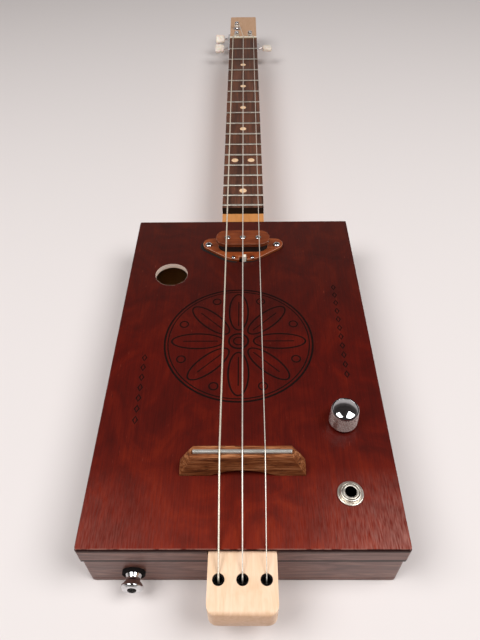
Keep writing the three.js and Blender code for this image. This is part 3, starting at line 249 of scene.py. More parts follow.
# Lid: thin plywood stained mahogany red and lacquered, a deep colour under a satin shine. Painted sheen streaks, chips
# and scratches have a grain size in X, Y and Z, a detail, where their noise starts and is full, and a turn.
lidSettings = {
    "dark": "#5c1304", "middle": "#6f1905", "light": "#832508", "pore": "#480d02",
    "fibre": (0.7, 24), "figure": (34, 46), "figureShare": 0.62, "waviness": 2,
    "pores": (0.6, 10), "poreStart": 0.68, "poreDepth": 0.5,
    "roughness": 0.6, "shine": 0.06, "coat": 0.38, "coatRoughness": 0.33, "bump": 0.9,
    "halfWidth": 90, "halfLength": 143,
    "tints": [(0, "#ffffff"), (0.1, "#e6d6cc"), (0.24, "#b49080"), (0.45, "#b88d7a"), (0.72, "#9f8a80"),
              (1, "#9b9a94")],
    "sheenColour": "#c28c80", "sheenShare": 0.6, "sheenAlong": (-144, -95),
    "sheenStreaks": ((0.75, 7, 1000), 3, 0.3, 0.74),
    "sheenAcross": [(0, "#9a9a9a"), (0.3, "#4a4a4a"), (0.5, "#101010"), (0.7, "#6a6a6a"), (1, "#ffffff")],
    "reflectionHazeColour": "#403835", "reflectionHazeShare": 0.1,
    "edgeShadeColour": "#2a0d08", "face": (89.9, 143.4, 0, 60),
    "arrisChipHighlightColour": "#b07a6c", "arrisShare": 0.5, "arris": (91, 145, 46, 47), "arrisInside": (89.5, 143, 0, 60),
    "arrisFront": (-143.6, -142.6), "chips": ((5, 5, 5), 4, 0.4, 0.55),
    "scratchColour": "#8a3e2e", "scratchShare": 0.35, "scratches": ((1.1, 7, 1000), 1, 0.74, 0.8, 0.35),
    "raw": (88, 142, 40, 42.6), "hole": (-56.8, 75, 12.74), "holeEdge": (42.5, 46.5),
    "layers": [(0, "#f3d6bf"), (0.3, "#fde6d6"), (0.35, "#cf9f7c"), (0.4, "#fff0e4"),
               (0.64, "#fff0e4"), (0.69, "#cf9f7c"), (0.74, "#fde6d6"), (1, "#f8dccb")],
}
s = lidSettings
stainedLid, lidTree, lidShader = makeWood("stainedLacqueredPly", s)

# The colour darkens towards the neck, and a paler painted sheen lies in fine streaks towards the front corners
tinted(lidTree, lidShader, rampAlong(lidTree, 1, -s["halfLength"], s["halfLength"], s["tints"]))
# Painted sheen: a paler colour in fine streaks near the front corners stands for the lamps' light on the lacquer
sheenAcross = rampAlong(lidTree, 0, -s["halfWidth"], s["halfWidth"], s["sheenAcross"])
sheenStreaks = bothMasks(lidTree, sheenAcross, noiseMask(lidTree, *s["sheenStreaks"]))
sheenAlong = rampAlong(lidTree, 1, *s["sheenAlong"], [(0, "#ffffff"), (1, "#000000")])
mixOver(lidTree, lidShader, s["sheenColour"], bothMasks(lidTree, sheenStreaks, sheenAlong), s["sheenShare"])

# A painted reflection: a grey film over its far half
reflectionHaze = rampAlong(lidTree, 1, 0, s["halfLength"], [(0, "#000000"), (1, "#ffffff")])
mixOver(lidTree, lidShader, s["reflectionHazeColour"], reflectionHaze, s["reflectionHazeShare"])

# The panel's edge is painted dark as shade, and has no lacquer
edgeShadeMask = inverted(lidTree, insideBox(lidTree, *s["face"]))
mixOver(lidTree, lidShader, s["edgeShadeColour"], edgeShadeMask)
uncoated(lidTree, lidShader, edgeShadeMask)

# Its upper corner is chipped paler and painted lighter as a highlight, most of all along the front
arris = bothMasks(lidTree, insideBox(lidTree, *s["arris"]), inverted(lidTree, insideBox(lidTree, *s["arrisInside"])))
arrisFront = rampAlong(lidTree, 1, *s["arrisFront"], [(0.2, "#ffffff"), (0.8, "#5a5a5a")])
chipsAndHighlight = bothMasks(lidTree, bothMasks(lidTree, arris, arrisFront), noiseMask(lidTree, *s["chips"]))
mixOver(lidTree, lidShader, s["arrisChipHighlightColour"], chipsAndHighlight, s["arrisShare"])

# Short scratches and specks from use, a lighter red than the stain
mixOver(lidTree, lidShader, s["scratchColour"], noiseMask(lidTree, *s["scratches"]), s["scratchShare"])

# Raw wood inside, and the bored edge of the sound hole with its pale layers and glue lines
rawBasswood = "#f0d2a4"
mixOver(lidTree, lidShader, rawBasswood, insideBox(lidTree, *s["raw"]))
layers = rampAlong(lidTree, 2, *s["holeEdge"], s["layers"])
mixOver(lidTree, lidShader, layers, nearAxis(lidTree, *s["hole"]))

# Box sides: the same stain rubbed thin to a grey brown, with the grain running along each wall
sideSettings = {
    "dark": "#4b251e", "middle": "#6c4439", "light": "#886357", "pore": "#331a15",
    "fibre": (0.9, 40), "figure": (6, 55), "figureShare": 0.55, "waviness": 2.2,
    "pores": (0.7, 14), "poreStart": 0.66, "poreDepth": 0.5,
    "roughness": 0.5, "shine": 0.3, "coat": 0.3, "coatRoughness": 0.28, "bump": 0.4,
    "turn": (0, 0, math.pi / 2), "turnedEndsOnly": True, "raw": (84.4, 137.9, 2, 42.4),
    "shadowColour": "#190806", "seam": (29.6, 33.6), "lip": (42.6, 44.6), "lipShare": 0.85,
    "seamStops": [(0.1, "#000000"), (0.17, "#ffffff"), (0.76, "#ffffff"), (0.83, "#000000")],
}
s = sideSettings
boxSides, sideTree, sideShader = makeWood("stainedBoxSides", s)

# A dark line of painted shadow lies along the seam, on the rim's lower edge, and painted shade lies under the lid's
# lip; the painted shade has no lacquer
seam = rampAlong(sideTree, 2, *s["seam"], s["seamStops"])
mixOver(sideTree, sideShader, s["shadowColour"], seam)
underLipShade = rampAlong(sideTree, 2, *s["lip"], [(0.1, "#000000"), (0.6, "#ffffff")])
mixOver(sideTree, sideShader, s["shadowColour"], underLipShade, s["lipShare"])
paintedShade = addNode(sideTree, "ShaderNodeMath", links={0: seam, 1: underLipShade}, operation="MAXIMUM").outputs[0]
uncoated(sideTree, sideShader, paintedShade)
mixOver(sideTree, sideShader, rawBasswood, insideBox(sideTree, *s["raw"]))

# Maple: pale cream at the sanded tail block, warmer under the finish along the neck
mapleSettings = {
    "dark": "#eac5a0", "middle": "#f3cfae", "light": "#f8d7b9", "pore": "#dcae88",
    "fibre": (0.9, 40), "figure": (9, 45), "figureShare": 0.7, "waviness": 3,
    "pores": (0.3, 9), "poreStart": 0.68, "poreDepth": 0.2,
    "roughness": 0.5, "coat": 0.08, "bump": 0.12,
    "along": (-175, 656), "endGrain": (-174.9, -172.6),
    "tints": [(0, "#ffffff"), (0.36, "#ffffff"), (0.39, "#d6aa74"), (0.83, "#d4ac80"), (0.88, "#cfbfb1"),
              (1, "#cfbfb1")],
    "endTints": [(0.1, "#dcd0c6"), (1, "#ffffff")],
}
s = mapleSettings
maple, mapleTree, mapleShader = makeWood("oiledMaple", s)
tinted(mapleTree, mapleShader, rampAlong(mapleTree, 1, *s["along"], s["tints"]))
tinted(mapleTree, mapleShader, rampAlong(mapleTree, 1, *s["endGrain"], s["endTints"]))

# Rosewood: dark brown with near-black streaks and open pores, blackened where its end was sawn
rosewoodSettings = {
    "dark": "#3a231b", "middle": "#593729", "light": "#754834", "pore": "#22130e",
    "fibre": (0.9, 34), "figure": (5, 90), "figureShare": 0.55,
    "pores": (0.35, 4), "poreStart": 0.62, "poreDepth": 0.8,
    "roughness": 0.5, "shine": 0.22, "bump": 0.45, "sawn": (160.7, 161.3), "sawnColour": "#1a110e",
}
s = rosewoodSettings
rosewood, rosewoodTree, rosewoodShader = makeWood("rosewood", s)
sawnEnd = rampAlong(rosewoodTree, 1, *s["sawn"], [(0.2, "#ffffff"), (0.8, "#000000")])
mixOver(rosewoodTree, rosewoodShader, s["sawnColour"], sawnEnd)

# Walnut: the bridge's warm brown, grain along its length, raw and slightly coarse
walnutSettings = {
    "dark": "#4a210f", "middle": "#834a28", "light": "#b87d53", "pore": "#271107",
    "fibre": (0.8, 12), "figure": (2.6, 34), "figureShare": 0.5,
    "pores": (0.5, 6), "poreStart": 0.59, "poreDepth": 0.7,
    "roughness": 0.55, "shine": 0.15, "bump": 0.5, "turn": (0, 0, math.pi / 2),
}
walnut, _, _ = makeWood("rawWalnut", walnutSettings)

# Padauk: the pickup's orange-red wood under a wax polish
padaukSettings = {
    "dark": "#66290f", "middle": "#843d1a", "light": "#9c5128", "pore": "#451a08",
    "fibre": (0.8, 18), "figure": (6, 24), "figureShare": 0.5, "waviness": 1.5,
    "pores": (0.35, 4), "poreStart": 0.66, "poreDepth": 0.5,
    "roughness": 0.45, "shine": 0.25, "coat": 0.2, "coatRoughness": 0.3, "bump": 0.3, "turn": (0, 0, math.pi / 2),
    "height": (49.4, 51), "heightTints": [(0, "#ffffff"), (1, "#dfdbd8")], "sheenColour": "#dfa588",
    "sheenShare": 0.75, "sheenFacing": [(0.25, "#000000"), (0.5, "#ffffff"), (0.85, "#ffffff"), (0.97, "#000000")],
}
s = padaukSettings
padauk, padaukTree, padaukShader = makeWood("waxedPadauk", s)
tinted(padaukTree, padaukShader, rampAlong(padaukTree, 2, *s["height"], s["heightTints"]))

# Its rounded corners are painted pale as a highlight: they are where the surface faces neither up nor sideways
facing = addNode(padaukTree, "ShaderNodeNewGeometry").outputs["Normal"]
facingUp = addNode(padaukTree, "ShaderNodeSeparateXYZ", links={0: facing}).outputs[2]
edgeSheen = addNode(padaukTree, "ShaderNodeValToRGB", links={0: facingUp}, stops=s["sheenFacing"]).outputs[0]
mixOver(padaukTree, padaukShader, s["sheenColour"], edgeSheen, s["sheenShare"])


# Metal: fine uneven polish and hairline marks that break up its reflections

metalSettings = {    # what all the metals share
    "detail": 4, "wearRange": (0.3, 0.7), "shadeStops": (0.3, 0.6), "leastRoughness": 0.02, "relief": 0.02,
}


def makeMetal(name, s):
    shared = metalSettings
    sockets = {"Metallic": s.get("metallic", 1), "Roughness": s["roughness"]}
    material, tree, shader = newMaterial(name, s["colour"], sockets)
    place = addNode(tree, "ShaderNodeTexCoord").outputs["Object"]
    inputs = {"Scale": 1 / (s["wearSize"] * mm), "Detail": shared["detail"]}
    wear = addNode(tree, "ShaderNodeTexNoise", inputs, {"Vector": place}).outputs[0]
    low, high = shared["wearRange"]
    smoothest = max(s["roughness"] - s["spread"], shared["leastRoughness"])
    rough = addNode(tree, "ShaderNodeMapRange", {1: low, 2: high, 3: smoothest, 4: s["roughness"] + s["spread"]},
                    {0: wear})
    tree.links.new(rough.outputs[0], shader.inputs["Roughness"])
    stops = list(zip(shared["shadeStops"], (s["shade"], s["colour"])))
    tone = addNode(tree, "ShaderNodeValToRGB", links={0: wear}, stops=stops)
    tree.links.new(tone.outputs[0], shader.inputs["Base Color"])
    height = wear
    if s.get("winding"):    # wire wound round a core, as bands along the neck
        band = addNode(tree, "ShaderNodeTexWave", {"Scale": 1 / (s["winding"] * mm) / math.tau}, {"Vector": place},
                       bands_direction="Y").outputs[1]
        height = addNode(tree, "ShaderNodeMath", links={0: wear, 1: band}, operation="ADD").outputs[0]
    relief = s.get("relief", shared["relief"])
    bump = addNode(tree, "ShaderNodeBump", {"Strength": s["bump"], "Distance": relief * mm}, {"Height": height})
    tree.links.new(bump.outputs[0], shader.inputs["Normal"])
    return material, tree, shader


# Chrome: a bright, slightly blue mirror with faint wiping marks
chrome, _, _ = makeMetal("polishedChrome", {
    "colour": "#d8d8da", "shade": "#c6c6c9", "roughness": 0.07, "spread": 0.03, "wearSize": 1.5, "bump": 0.08})

# Nickel: softer and a little yellow beside chrome
nickel, _, _ = makeMetal("nickelPlate", {
    "colour": "#d6cfc2", "shade": "#b9b0a2", "roughness": 0.2, "spread": 0.07, "wearSize": 1.2, "bump": 0.15})

# The jack's nickel, with its bore painted dark as shade
jackSettings = {"colour": "#ece5d9", "shade": "#dad2c5", "roughness": 0.36, "spread": 0.05, "wearSize": 2, "bump": 0.08,
                "bore": (61.2, -112.1, 3.35), "boreShadeColour": "#040303"}
jackNickel, jackTree, jackShader = makeMetal("jackNickelPlate", jackSettings)
mixOver(jackTree, jackShader, jackSettings["boreShadeColour"], nearAxis(jackTree, *jackSettings["bore"]))

# Nickel silver fret wire, polished along its crown
fretWire, _, _ = makeMetal("nickelSilverFretWire", {
    "colour": "#cdc6ba", "shade": "#b1aa9e", "metallic": 0.9, "roughness": 0.42, "spread": 0.08, "wearSize": 2,
    "bump": 0.15})

# Satin chrome of the knob's knurled side and the worms, whose fine ridges scatter the light
satinChrome, _, _ = makeMetal("satinChrome", {
    "colour": "#e6dad6", "shade": "#d2c5c1", "roughness": 0.28, "spread": 0.06, "wearSize": 0.8, "bump": 0.2})

# Drawn nickel silver rod of the saddle
rodMetal, _, _ = makeMetal("drawnNickelSilverRod", {
    "colour": "#cdc9c2", "shade": "#bdb8b0", "metallic": 0.85, "roughness": 0.34, "spread": 0.02, "wearSize": 6,
    "bump": 0.02})

# Plain steel string: drawn wire, its fine drawing marks scatter light, so it looks pale from every side
plainSteel, _, _ = makeMetal("drawnStringWire", {
    "colour": "#f1eadf", "shade": "#dcd3c4", "metallic": 0.5, "roughness": 0.36, "spread": 0.06, "wearSize": 0.8,
    "bump": 0.15})

# Wound string: bands of wire, drawn coarser than the real 0.2 mm so that they show
woundSteel, _, _ = makeMetal("woundStringWire", {
    "colour": "#f2e8d6", "shade": "#d9ccb4", "metallic": 0.45, "roughness": 0.38, "spread": 0.06, "wearSize": 0.8,
    "bump": 0.35, "relief": 0.06, "winding": 0.4})

# Black nickel over brass: dark ferrules that still catch a rim of light
blackNickel, _, _ = makeMetal("blackNickelPlate", {
    "colour": "#2c2a2a", "shade": "#1b1919", "roughness": 0.28, "spread": 0.08, "wearSize": 0.9, "bump": 0.15})


# Moulded and turned materials: even colour with a faint ripple, and light that passes a little way in

mouldedSettings = {    # what they all share
    "index": 1.49, "glowDepth": 1.5, "detail": 3, "shadeStops": (0.35, 0.6), "relief": 0.05,
}


def makeMoulded(name, s):
    shared = mouldedSettings
    material, tree, shader = newMaterial(name, s["colour"], {
        "Roughness": s["roughness"], "IOR": shared["index"], "Specular IOR Level": s.get("shine", 0.5),
        "Subsurface Weight": s.get("glow", 0), "Subsurface Scale": shared["glowDepth"] * mm})
    place = addNode(tree, "ShaderNodeTexCoord").outputs["Object"]
    inputs = {"Scale": 1 / (s["rippleSize"] * mm), "Detail": shared["detail"]}
    ripple = addNode(tree, "ShaderNodeTexNoise", inputs, {"Vector": place}).outputs[0]
    stops = list(zip(shared["shadeStops"], (s["shade"], s["colour"])))
    colours = addNode(tree, "ShaderNodeValToRGB", links={0: ripple}, stops=stops)
    tree.links.new(colours.outputs[0], shader.inputs["Base Color"])
    bump = addNode(tree, "ShaderNodeBump", {"Strength": s["bump"], "Distance": shared["relief"] * mm},
                   {"Height": ripple})
    tree.links.new(bump.outputs[0], shader.inputs["Normal"])
    return material, tree, shader


# Black ABS of the bobbin and switch: matt, with a slight moulding ripple
blackPlastic, _, _ = makeMoulded("mouldedBlackAbs", {
    "colour": "#1b1a1a", "shade": "#111010", "roughness": 0.5, "rippleSize": 1.2, "bump": 0.2})

# Cream acetate buttons: a warm white with faint cloudiness
creamAcetate, _, _ = makeMoulded("creamAcetate", {
    "colour": "#efe4d8", "shade": "#e3d5c4", "roughness": 0.32, "rippleSize": 4, "bump": 0.06, "glow": 0.12})

# White nylon lever
whiteNylon, _, _ = makeMoulded("whiteNylon", {
    "colour": "#f4eddf", "shade": "#e6dcc8", "roughness": 0.4, "rippleSize": 1, "bump": 0.1, "glow": 0.1})

# Bone: off-white with faint grain, polished, and painted darker low down as shade
boneSettings = {"colour": "#eee5d4", "shade": "#dccfb6", "roughness": 0.32, "rippleSize": 0.8, "bump": 0.1, "glow": 0.1,
                "lowShade": (48.8, 50.6), "lowShadeTints": [(0.3, "#a8967c"), (0.9, "#ffffff")]}
s = boneSettings
bone, boneTree, boneShader = makeMoulded("polishedBone", s)
tinted(boneTree, boneShader, rampAlong(boneTree, 2, *s["lowShade"], s["lowShadeTints"]))

# Fret markers: turned maple plugs, their end grain a pale orange cream
plugMaple, _, _ = makeMoulded("turnedMaplePlug", {
    "colour": "#f3cfa8", "shade": "#e4b98c", "roughness": 0.42, "rippleSize": 1.6, "bump": 0.1})

# Pressed felt: matt black, fuzzy with tiny fibres
felt, _, _ = makeMoulded("pressedFelt", {
    "colour": "#191414", "shade": "#080606", "roughness": 0.95, "shine": 0.15, "rippleSize": 0.35, "bump": 0.6})

# Scorched line: the lid's thin drawing, nearly black and duller than the lacquer
scorched, _, _ = makeMoulded("scorchedLine", {
    "colour": "#120705", "shade": "#090403", "roughness": 0.6, "shine": 0.1, "rippleSize": 1.5, "bump": 0.1})

# The thin dark sheet under the pickup ring, a painted shadow of the ring
shadowSheetMaterial, _, _ = makeMoulded("paintedShadowSheet", {
    "colour": "#231d1b", "shade": "#141010", "roughness": 0.6, "shine": 0.3, "rippleSize": 0.9, "bump": 0.2})
print("materials made")


# Putting pieces in the scene

def addPiece(name, shape, material, body, smoothAngle):
    mesh = bpy.data.meshes.new(name)
    shape.to_mesh(mesh)
    shape.free()
    mesh.materials.append(material)
    mesh.polygons.foreach_set("use_smooth", [True] * len(mesh.polygons))
    mesh.set_sharp_from_angle(angle=math.radians(smoothAngle))
    piece = bpy.data.objects.new(name, mesh)
    bpy.context.collection.objects.link(piece)
    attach(piece, body)
    return piece


def finishPiece(name, shape, material, body, smoothAngle=35):
    bmesh.ops.scale(shape, vec=(mm, mm, mm), verts=shape.verts)
    bmesh.ops.recalc_face_normals(shape, faces=shape.faces)
    return addPiece(name, shape, material, body, smoothAngle)


# Lengths in millimetres, angles in degrees
shapeSettings = {"spinMerge": 1e-4, "copyMerge": 0.004, "flatWithin": 1, "roundSegments": 3}


# A profile of radius and height, spun round Z
def spun(profile, steps=48):
    shape = bmesh.new()
    points = [shape.verts.new((radius, 0, height)) for radius, height in profile]
    for first, second in zip(points, points[1:]):
        shape.edges.new((first, second))
    bmesh.ops.spin(shape, geom=shape.verts[:] + shape.edges[:], cent=(0, 0, 0), axis=(0, 0, 1),
                   angle=math.tau, steps=steps, use_merge=True, use_duplicate=False)
    bmesh.ops.remove_doubles(shape, verts=shape.verts, dist=shapeSettings["spinMerge"])
    return shape


def placed(shape, x=0, y=0, z=0, turn=None):
    if turn:
        bmesh.ops.transform(shape, matrix=turn, verts=shape.verts)
    bmesh.ops.translate(shape, vec=(x, y, z), verts=shape.verts)
    return shape


# Several shapes as one
def gathered(shapes):
    whole = bmesh.new()
    for shape in shapes:
        part = bpy.data.meshes.new("part")
        shape.to_mesh(part)
        shape.free()
        whole.from_mesh(part)
        bpy.data.meshes.remove(part)
    return whole


# A merged copy of a CAD node's form, in metres
def copied(nodeName):
    shape = bmesh.new()
    shape.from_mesh(nodes[nodeName].data)
    bmesh.ops.remove_doubles(shape, verts=shape.verts, dist=shapeSettings["copyMerge"] * mm)
    flat = math.radians(shapeSettings["flatWithin"])
    bmesh.ops.dissolve_limit(shape, angle_limit=flat, verts=shape.verts, edges=shape.edges)
    return shape


# The same form with smooth shading, and its sharp edges rounded over by a width in millimetres
def softened(nodeName, name, material, body, width=0, angle=40, shape=None):
    piece = addPiece(name, shape or copied(nodeName), material, body, angle)
    if width:
        rounding = piece.modifiers.new("rounding", "BEVEL")
        rounding.width = width * mm
        rounding.segments = shapeSettings["roundSegments"]
        rounding.limit_method = "WEIGHT" if shape else "ANGLE"
        rounding.angle_limit = math.radians(angle)
        rounding.harden_normals = True
    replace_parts(piece, nodeName)


softened("tray_back", "boxBack", boxSides, "guitar_body", 0.8)
softened("tray_walls", "boxWalls", boxSides, "guitar_body", 0.3)
softened("lid_rim_left", "lidRimLeft", boxSides, "guitar_body", 0.2)
softened("lid_rim_right", "lidRimRight", boxSides, "guitar_body", 0.2)
softened("lid_panel", "lidPanel", stainedLid, "guitar_body", 0.35)
softened("fretboard", "fingerboard", rosewood, "guitar_body", 0.12)
softened("nut", "boneNut", bone, "guitar_body", 0.25)
softened("bridge", "woodBridge", walnut, "guitar_body", 0.6, 20)
softened("saddle_rod", "saddleRod", rodMetal, "guitar_body", 0.3)
softened("pickup_ring", "pickupRing", padauk, "guitar_body", 0.5)
softened("pickup_cover", "pickupCover", padauk, "guitar_body", 0.5)
softened("pickup_bobbin", "pickupBobbin", blackPlastic, "guitar_body", 0.4)
softened("switch_lever", "switchLever", whiteNylon, "switch_slider", 0.5)
softened("jack_body", "jackBody", jackNickel, "guitar_body", 0.5)
softened("jack_washer", "jackWasher", jackNickel, "guitar_body", 0.25)
softened("jack_nut", "jackNut", jackNickel, "guitar_body", 0.5)
softened("strap_button", "strapButton", chrome, "guitar_body", 0.5)
for number in range(1, 17):
    softened(f"fret_{number:02d}", f"fretWire{number:02d}", fretWire, "guitar_body")
for label, material in (("low", woundSteel), ("middle", plainSteel), ("high", plainSteel)):
    softened(f"string_{label}", f"string{label.title()}", material, "guitar_body", angle=80)
for number in (1, 2, 3):
    softened(f"ferrule_{number}", f"ferrule{number}", blackNickel, "guitar_body", 0.15)
for side in ("left_near", "left_far", "right"):
    label = side.replace("_", " ").title().replace(" ", "")
    softened(f"tuner_plate_{side}", f"tunerPlate{label}", chrome, "guitar_body", 0.25)
    softened(f"tuner_post_{side}", f"tunerPost{label}", chrome, f"post_{side}", 0.12)
    softened(f"tuner_worm_{side}", f"tunerWorm{label}", satinChrome, f"button_{side}", 0.1)
    softened(f"tuner_button_{side}", f"tunerButton{label}", creamAcetate, f"button_{side}", 0.4, 50)

# The neck's edges are rounded over at the tail block and headstock, and stay crisp under the fretboard
neckSettings = {"tailEnd": -143.5, "boardStart": 160, "boardEnd": 558, "round": 1.3, "crispShare": 0.12, "angle": 50}
neckShape = copied("neck")
for place in (neckSettings["tailEnd"], neckSettings["boardStart"], neckSettings["boardEnd"]):
    everything = neckShape.verts[:] + neckShape.edges[:] + neckShape.faces[:]
    bmesh.ops.bisect_plane(neckShape, geom=everything, plane_co=(0, place * mm, 0), plane_no=(0, 1, 0))
weight = neckShape.edges.layers.float.new("bevel_weight_edge")
for edge in neckShape.edges:
    if len(edge.link_faces) == 2 and edge.calc_face_angle() > math.radians(neckSettings["angle"]):
        middle = (edge.verts[0].co.y + edge.verts[1].co.y) / 2 / mm
        isBare = middle < neckSettings["tailEnd"] or middle > neckSettings["boardEnd"]
        edge[weight] = 1 if isBare else neckSettings["crispShare"]
softened("neck", "throughNeck", maple, "guitar_body", neckSettings["round"], 35, neckShape)

# Unseen or plain nodes keep their own shape
for name, material in (("pot_body", nickel), ("pot_nut", nickel), ("pot_shaft", nickel), ("switch_body", blackPlastic)):
    nodes[name].data.materials.clear()
    nodes[name].data.materials.append(material)
print("CAD forms dressed")


# Fret markers

markerSettings = {"diameter": 6.8, "top": 49.06, "depth": 0.8, "edge": 0.1, "steps": 32, "spaces": (3, 5, 7, 9, 15),
                  "doubleSpace": 12, "doubleOffset": 8, "nut": 555.2, "scale": 647.7}


def fretPlace(number):
    return markerSettings["nut"] - markerSettings["scale"] * (1 - 2 ** (-number / 12))


s = markerSettings
radius = s["diameter"] / 2
markerPlaces = [(0, space) for space in s["spaces"]]
markerPlaces += [(side * s["doubleOffset"], s["doubleSpace"]) for side in (-1, 1)]
markers = []
for x, space in markerPlaces:
    plug = spun([(0, s["top"] - s["depth"]), (radius, s["top"] - s["depth"]), (radius, s["top"] - s["edge"]),
                 (radius - s["edge"], s["top"]), (0, s["top"])], s["steps"])
    markers.append(placed(plug, x, (fretPlace(space - 1) + fretPlace(space)) / 2))
finishPiece("fretMarkers", gathered(markers), plugMaple, "guitar_body")


# Screws: a domed head with a cross recess cut into it

headSettings = {"steps": 32, "domeSteps": 8, "rimShare": 0.25}    # the rim is this share of the head's height


def screwHead(diameter, height, slotShare=0.14, lengthShare=0.55, depthShare=0.4, slots=2, shank=0):
    s = headSettings
    half = diameter / 2
    angles = [math.pi / 2 * i / s["domeSteps"] for i in range(s["domeSteps"])]
    dome = [(half * math.cos(a), height * (s["rimShare"] + (1 - s["rimShare"]) * math.sin(a))) for a in angles]
    head = spun([(0, -shank), (half, -shank), *dome, (0, height)], s["steps"])
    bars = bmesh.new()
    for i in range(slots):
        bar = bmesh.ops.create_cube(bars, size=1)["verts"]
        bmesh.ops.scale(bars, vec=(diameter * lengthShare, diameter * slotShare, height), verts=bar)
        bmesh.ops.rotate(bars, matrix=Matrix.Rotation(math.pi / 2 * i, 3, "Z"), verts=bar)
        bmesh.ops.translate(bars, vec=(0, 0, height * (1.5 - depthShare)), verts=bar)    # ends inside the head
    objects = []
    for label, shape in (("head", head), ("recess", bars)):
        bmesh.ops.recalc_face_normals(shape, faces=shape.faces)
        mesh = bpy.data.meshes.new(label)
        shape.to_mesh(mesh)
        shape.free()
        objects.append(bpy.data.objects.new(label, mesh))
        bpy.context.collection.objects.link(objects[-1])
    carve = objects[0].modifiers.new("recess", "BOOLEAN")
    carve.object = objects[1]
    carve.use_self = True
    carved = objects[0].evaluated_get(bpy.context.evaluated_depsgraph_get())
    result = bmesh.new()
    result.from_mesh(carved.to_mesh())
    carved.to_mesh_clear()
    for item in objects:
        bpy.data.objects.remove(item)
    return result


screwSettings = {
    "earScrews": {"diameter": 5.8, "height": 2, "z": 49.32, "places": [(-28.3, 107.8), (28, 107.8)]},
    "switchScrews": {"diameter": 3.4, "height": 1.2, "z": 49.32, "places": [(-7.6, 91.9), (7.6, 91.9)]},
}
screwTurns = (0.4, 1.3)    # radians, left and right screw
for name, s in screwSettings.items():
    heads = [placed(screwHead(s["diameter"], s["height"]), x, y, s["z"], Matrix.Rotation(turn, 4, "Z"))
             for (x, y), turn in zip(s["places"], screwTurns)]
    finishPiece(name, gathered(heads), chrome, "guitar_body")

# Pole screws of the pickup, each in its node's place
poleSettings = {"diameter": 4.4, "dome": 1.1, "slotShare": 0.13, "lengthShare": 1.2, "depthShare": 0.5,
                "turns": (0.2, -0.5, 0.35)}
s = poleSettings
for number, turn in enumerate(s["turns"], 1):
    low, high = (Vector(corner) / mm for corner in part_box(f"pickup_pole_{number}"))
    middle = (low + high) / 2
    domeFoot = high.z - s["dome"]
    shares = (s["slotShare"], s["lengthShare"], s["depthShare"])
    pole = screwHead(s["diameter"], s["dome"], *shares, slots=1, shank=domeFoot - low.z)
    placed(pole, middle.x, middle.y, domeFoot, Matrix.Rotation(turn, 4, "Z"))
    poleName = f"pickupPole{number}"
    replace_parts(finishPiece(poleName, pole, chrome, "guitar_body"), f"pickup_pole_{number}")

# Plate screws under the headstock, two to a tuner, clear of its gear
plateSettings = {"tuners": [(-9.2, 574.2, -1), (-9.2, 609.2, -1), (9.2, 574.2, 1)], "z": 28.88,
                 "offsets": [(-5.6, -6.2), (9.8, -5.2)], "diameter": 3, "height": 0.9, "turns": (0.5, 1)}
s = plateSettings
heads = []
for i, (x, y, side) in enumerate(s["tuners"]):
    for j, (outward, along) in enumerate(s["offsets"]):
        turn = s["turns"][0] * i + s["turns"][1] * j    # no two slots stand alike
        flip = Matrix.Rotation(math.pi, 4, "X") @ Matrix.Rotation(turn, 4, "Z")
        heads.append(placed(screwHead(s["diameter"], s["height"]), x + side * outward, y + along, s["z"], flip))
finishPiece("tunerPlateScrews", gathered(heads), chrome, "guitar_body")

# Strap button: a felt washer round its base, and a screw in its face
strapSettings = {"x": -62.4, "z": 14.5, "wall": -143.3, "face": -153.9, "feltOuter": 6.65, "feltInner": 5.4,
                 "feltThick": 2.3, "feltEdge": 0.3, "screwDiameter": 5.2, "screwHeight": 0.9,
                 "slotShare": 0.3, "lengthShare": 0.66, "depthShare": 0.8}
s = strapSettings
towardsTail = Matrix.Rotation(math.pi / 2, 4, "X")
screw = screwHead(s["screwDiameter"], s["screwHeight"], s["slotShare"], s["lengthShare"], s["depthShare"])
placed(screw, s["x"], s["face"], s["z"], towardsTail)
finishPiece("strapScrew", screw, blackNickel, "guitar_body")
inner, outer, thick = s["feltInner"], s["feltOuter"], s["feltThick"]
feltRing = spun([(inner, 0), (outer, 0), (outer, thick - s["feltEdge"]), (outer - s["feltEdge"], thick),
                 (inner, thick), (inner, 0)])
placed(feltRing, s["x"], s["wall"], s["z"], towardsTail)
finishPiece("strapFelt", feltRing, felt, "guitar_body")
print("screws made")


# Tuner bushings on the headstock's face: a hexagon on a round washer

bushingSettings = {"face": 42.32, "bore": 3.4, "washer": 5.2, "washerTop": 42.9, "washerEdge": 0.2, "steps": 40,
                   "hexagon": 4.4, "top": 43.9, "hexagonEdge": 0.25}
s = bushingSettings


# A ring with its upper outer corner cut off
def cutRing(bore, outer, foot, top, edge, steps):
    profile = [(bore, foot), (outer, foot), (outer, top - edge), (outer - edge, top), (bore, top), (bore, foot)]
    return spun(profile, steps)


bushings = []
for x, y, side in plateSettings["tuners"]:
    washer = cutRing(s["bore"], s["washer"], s["face"], s["washerTop"], s["washerEdge"], s["steps"])
    hexagon = cutRing(s["bore"], s["hexagon"], s["washerTop"], s["top"], s["hexagonEdge"], 6)
    bushings += [placed(washer, x, y), placed(hexagon, x, y)]
finishPiece("tunerBushings", gathered(bushings), chrome, "guitar_body")


# Volume knob: a shallow dome inside a thin raised rim, knurled side, plain skirt

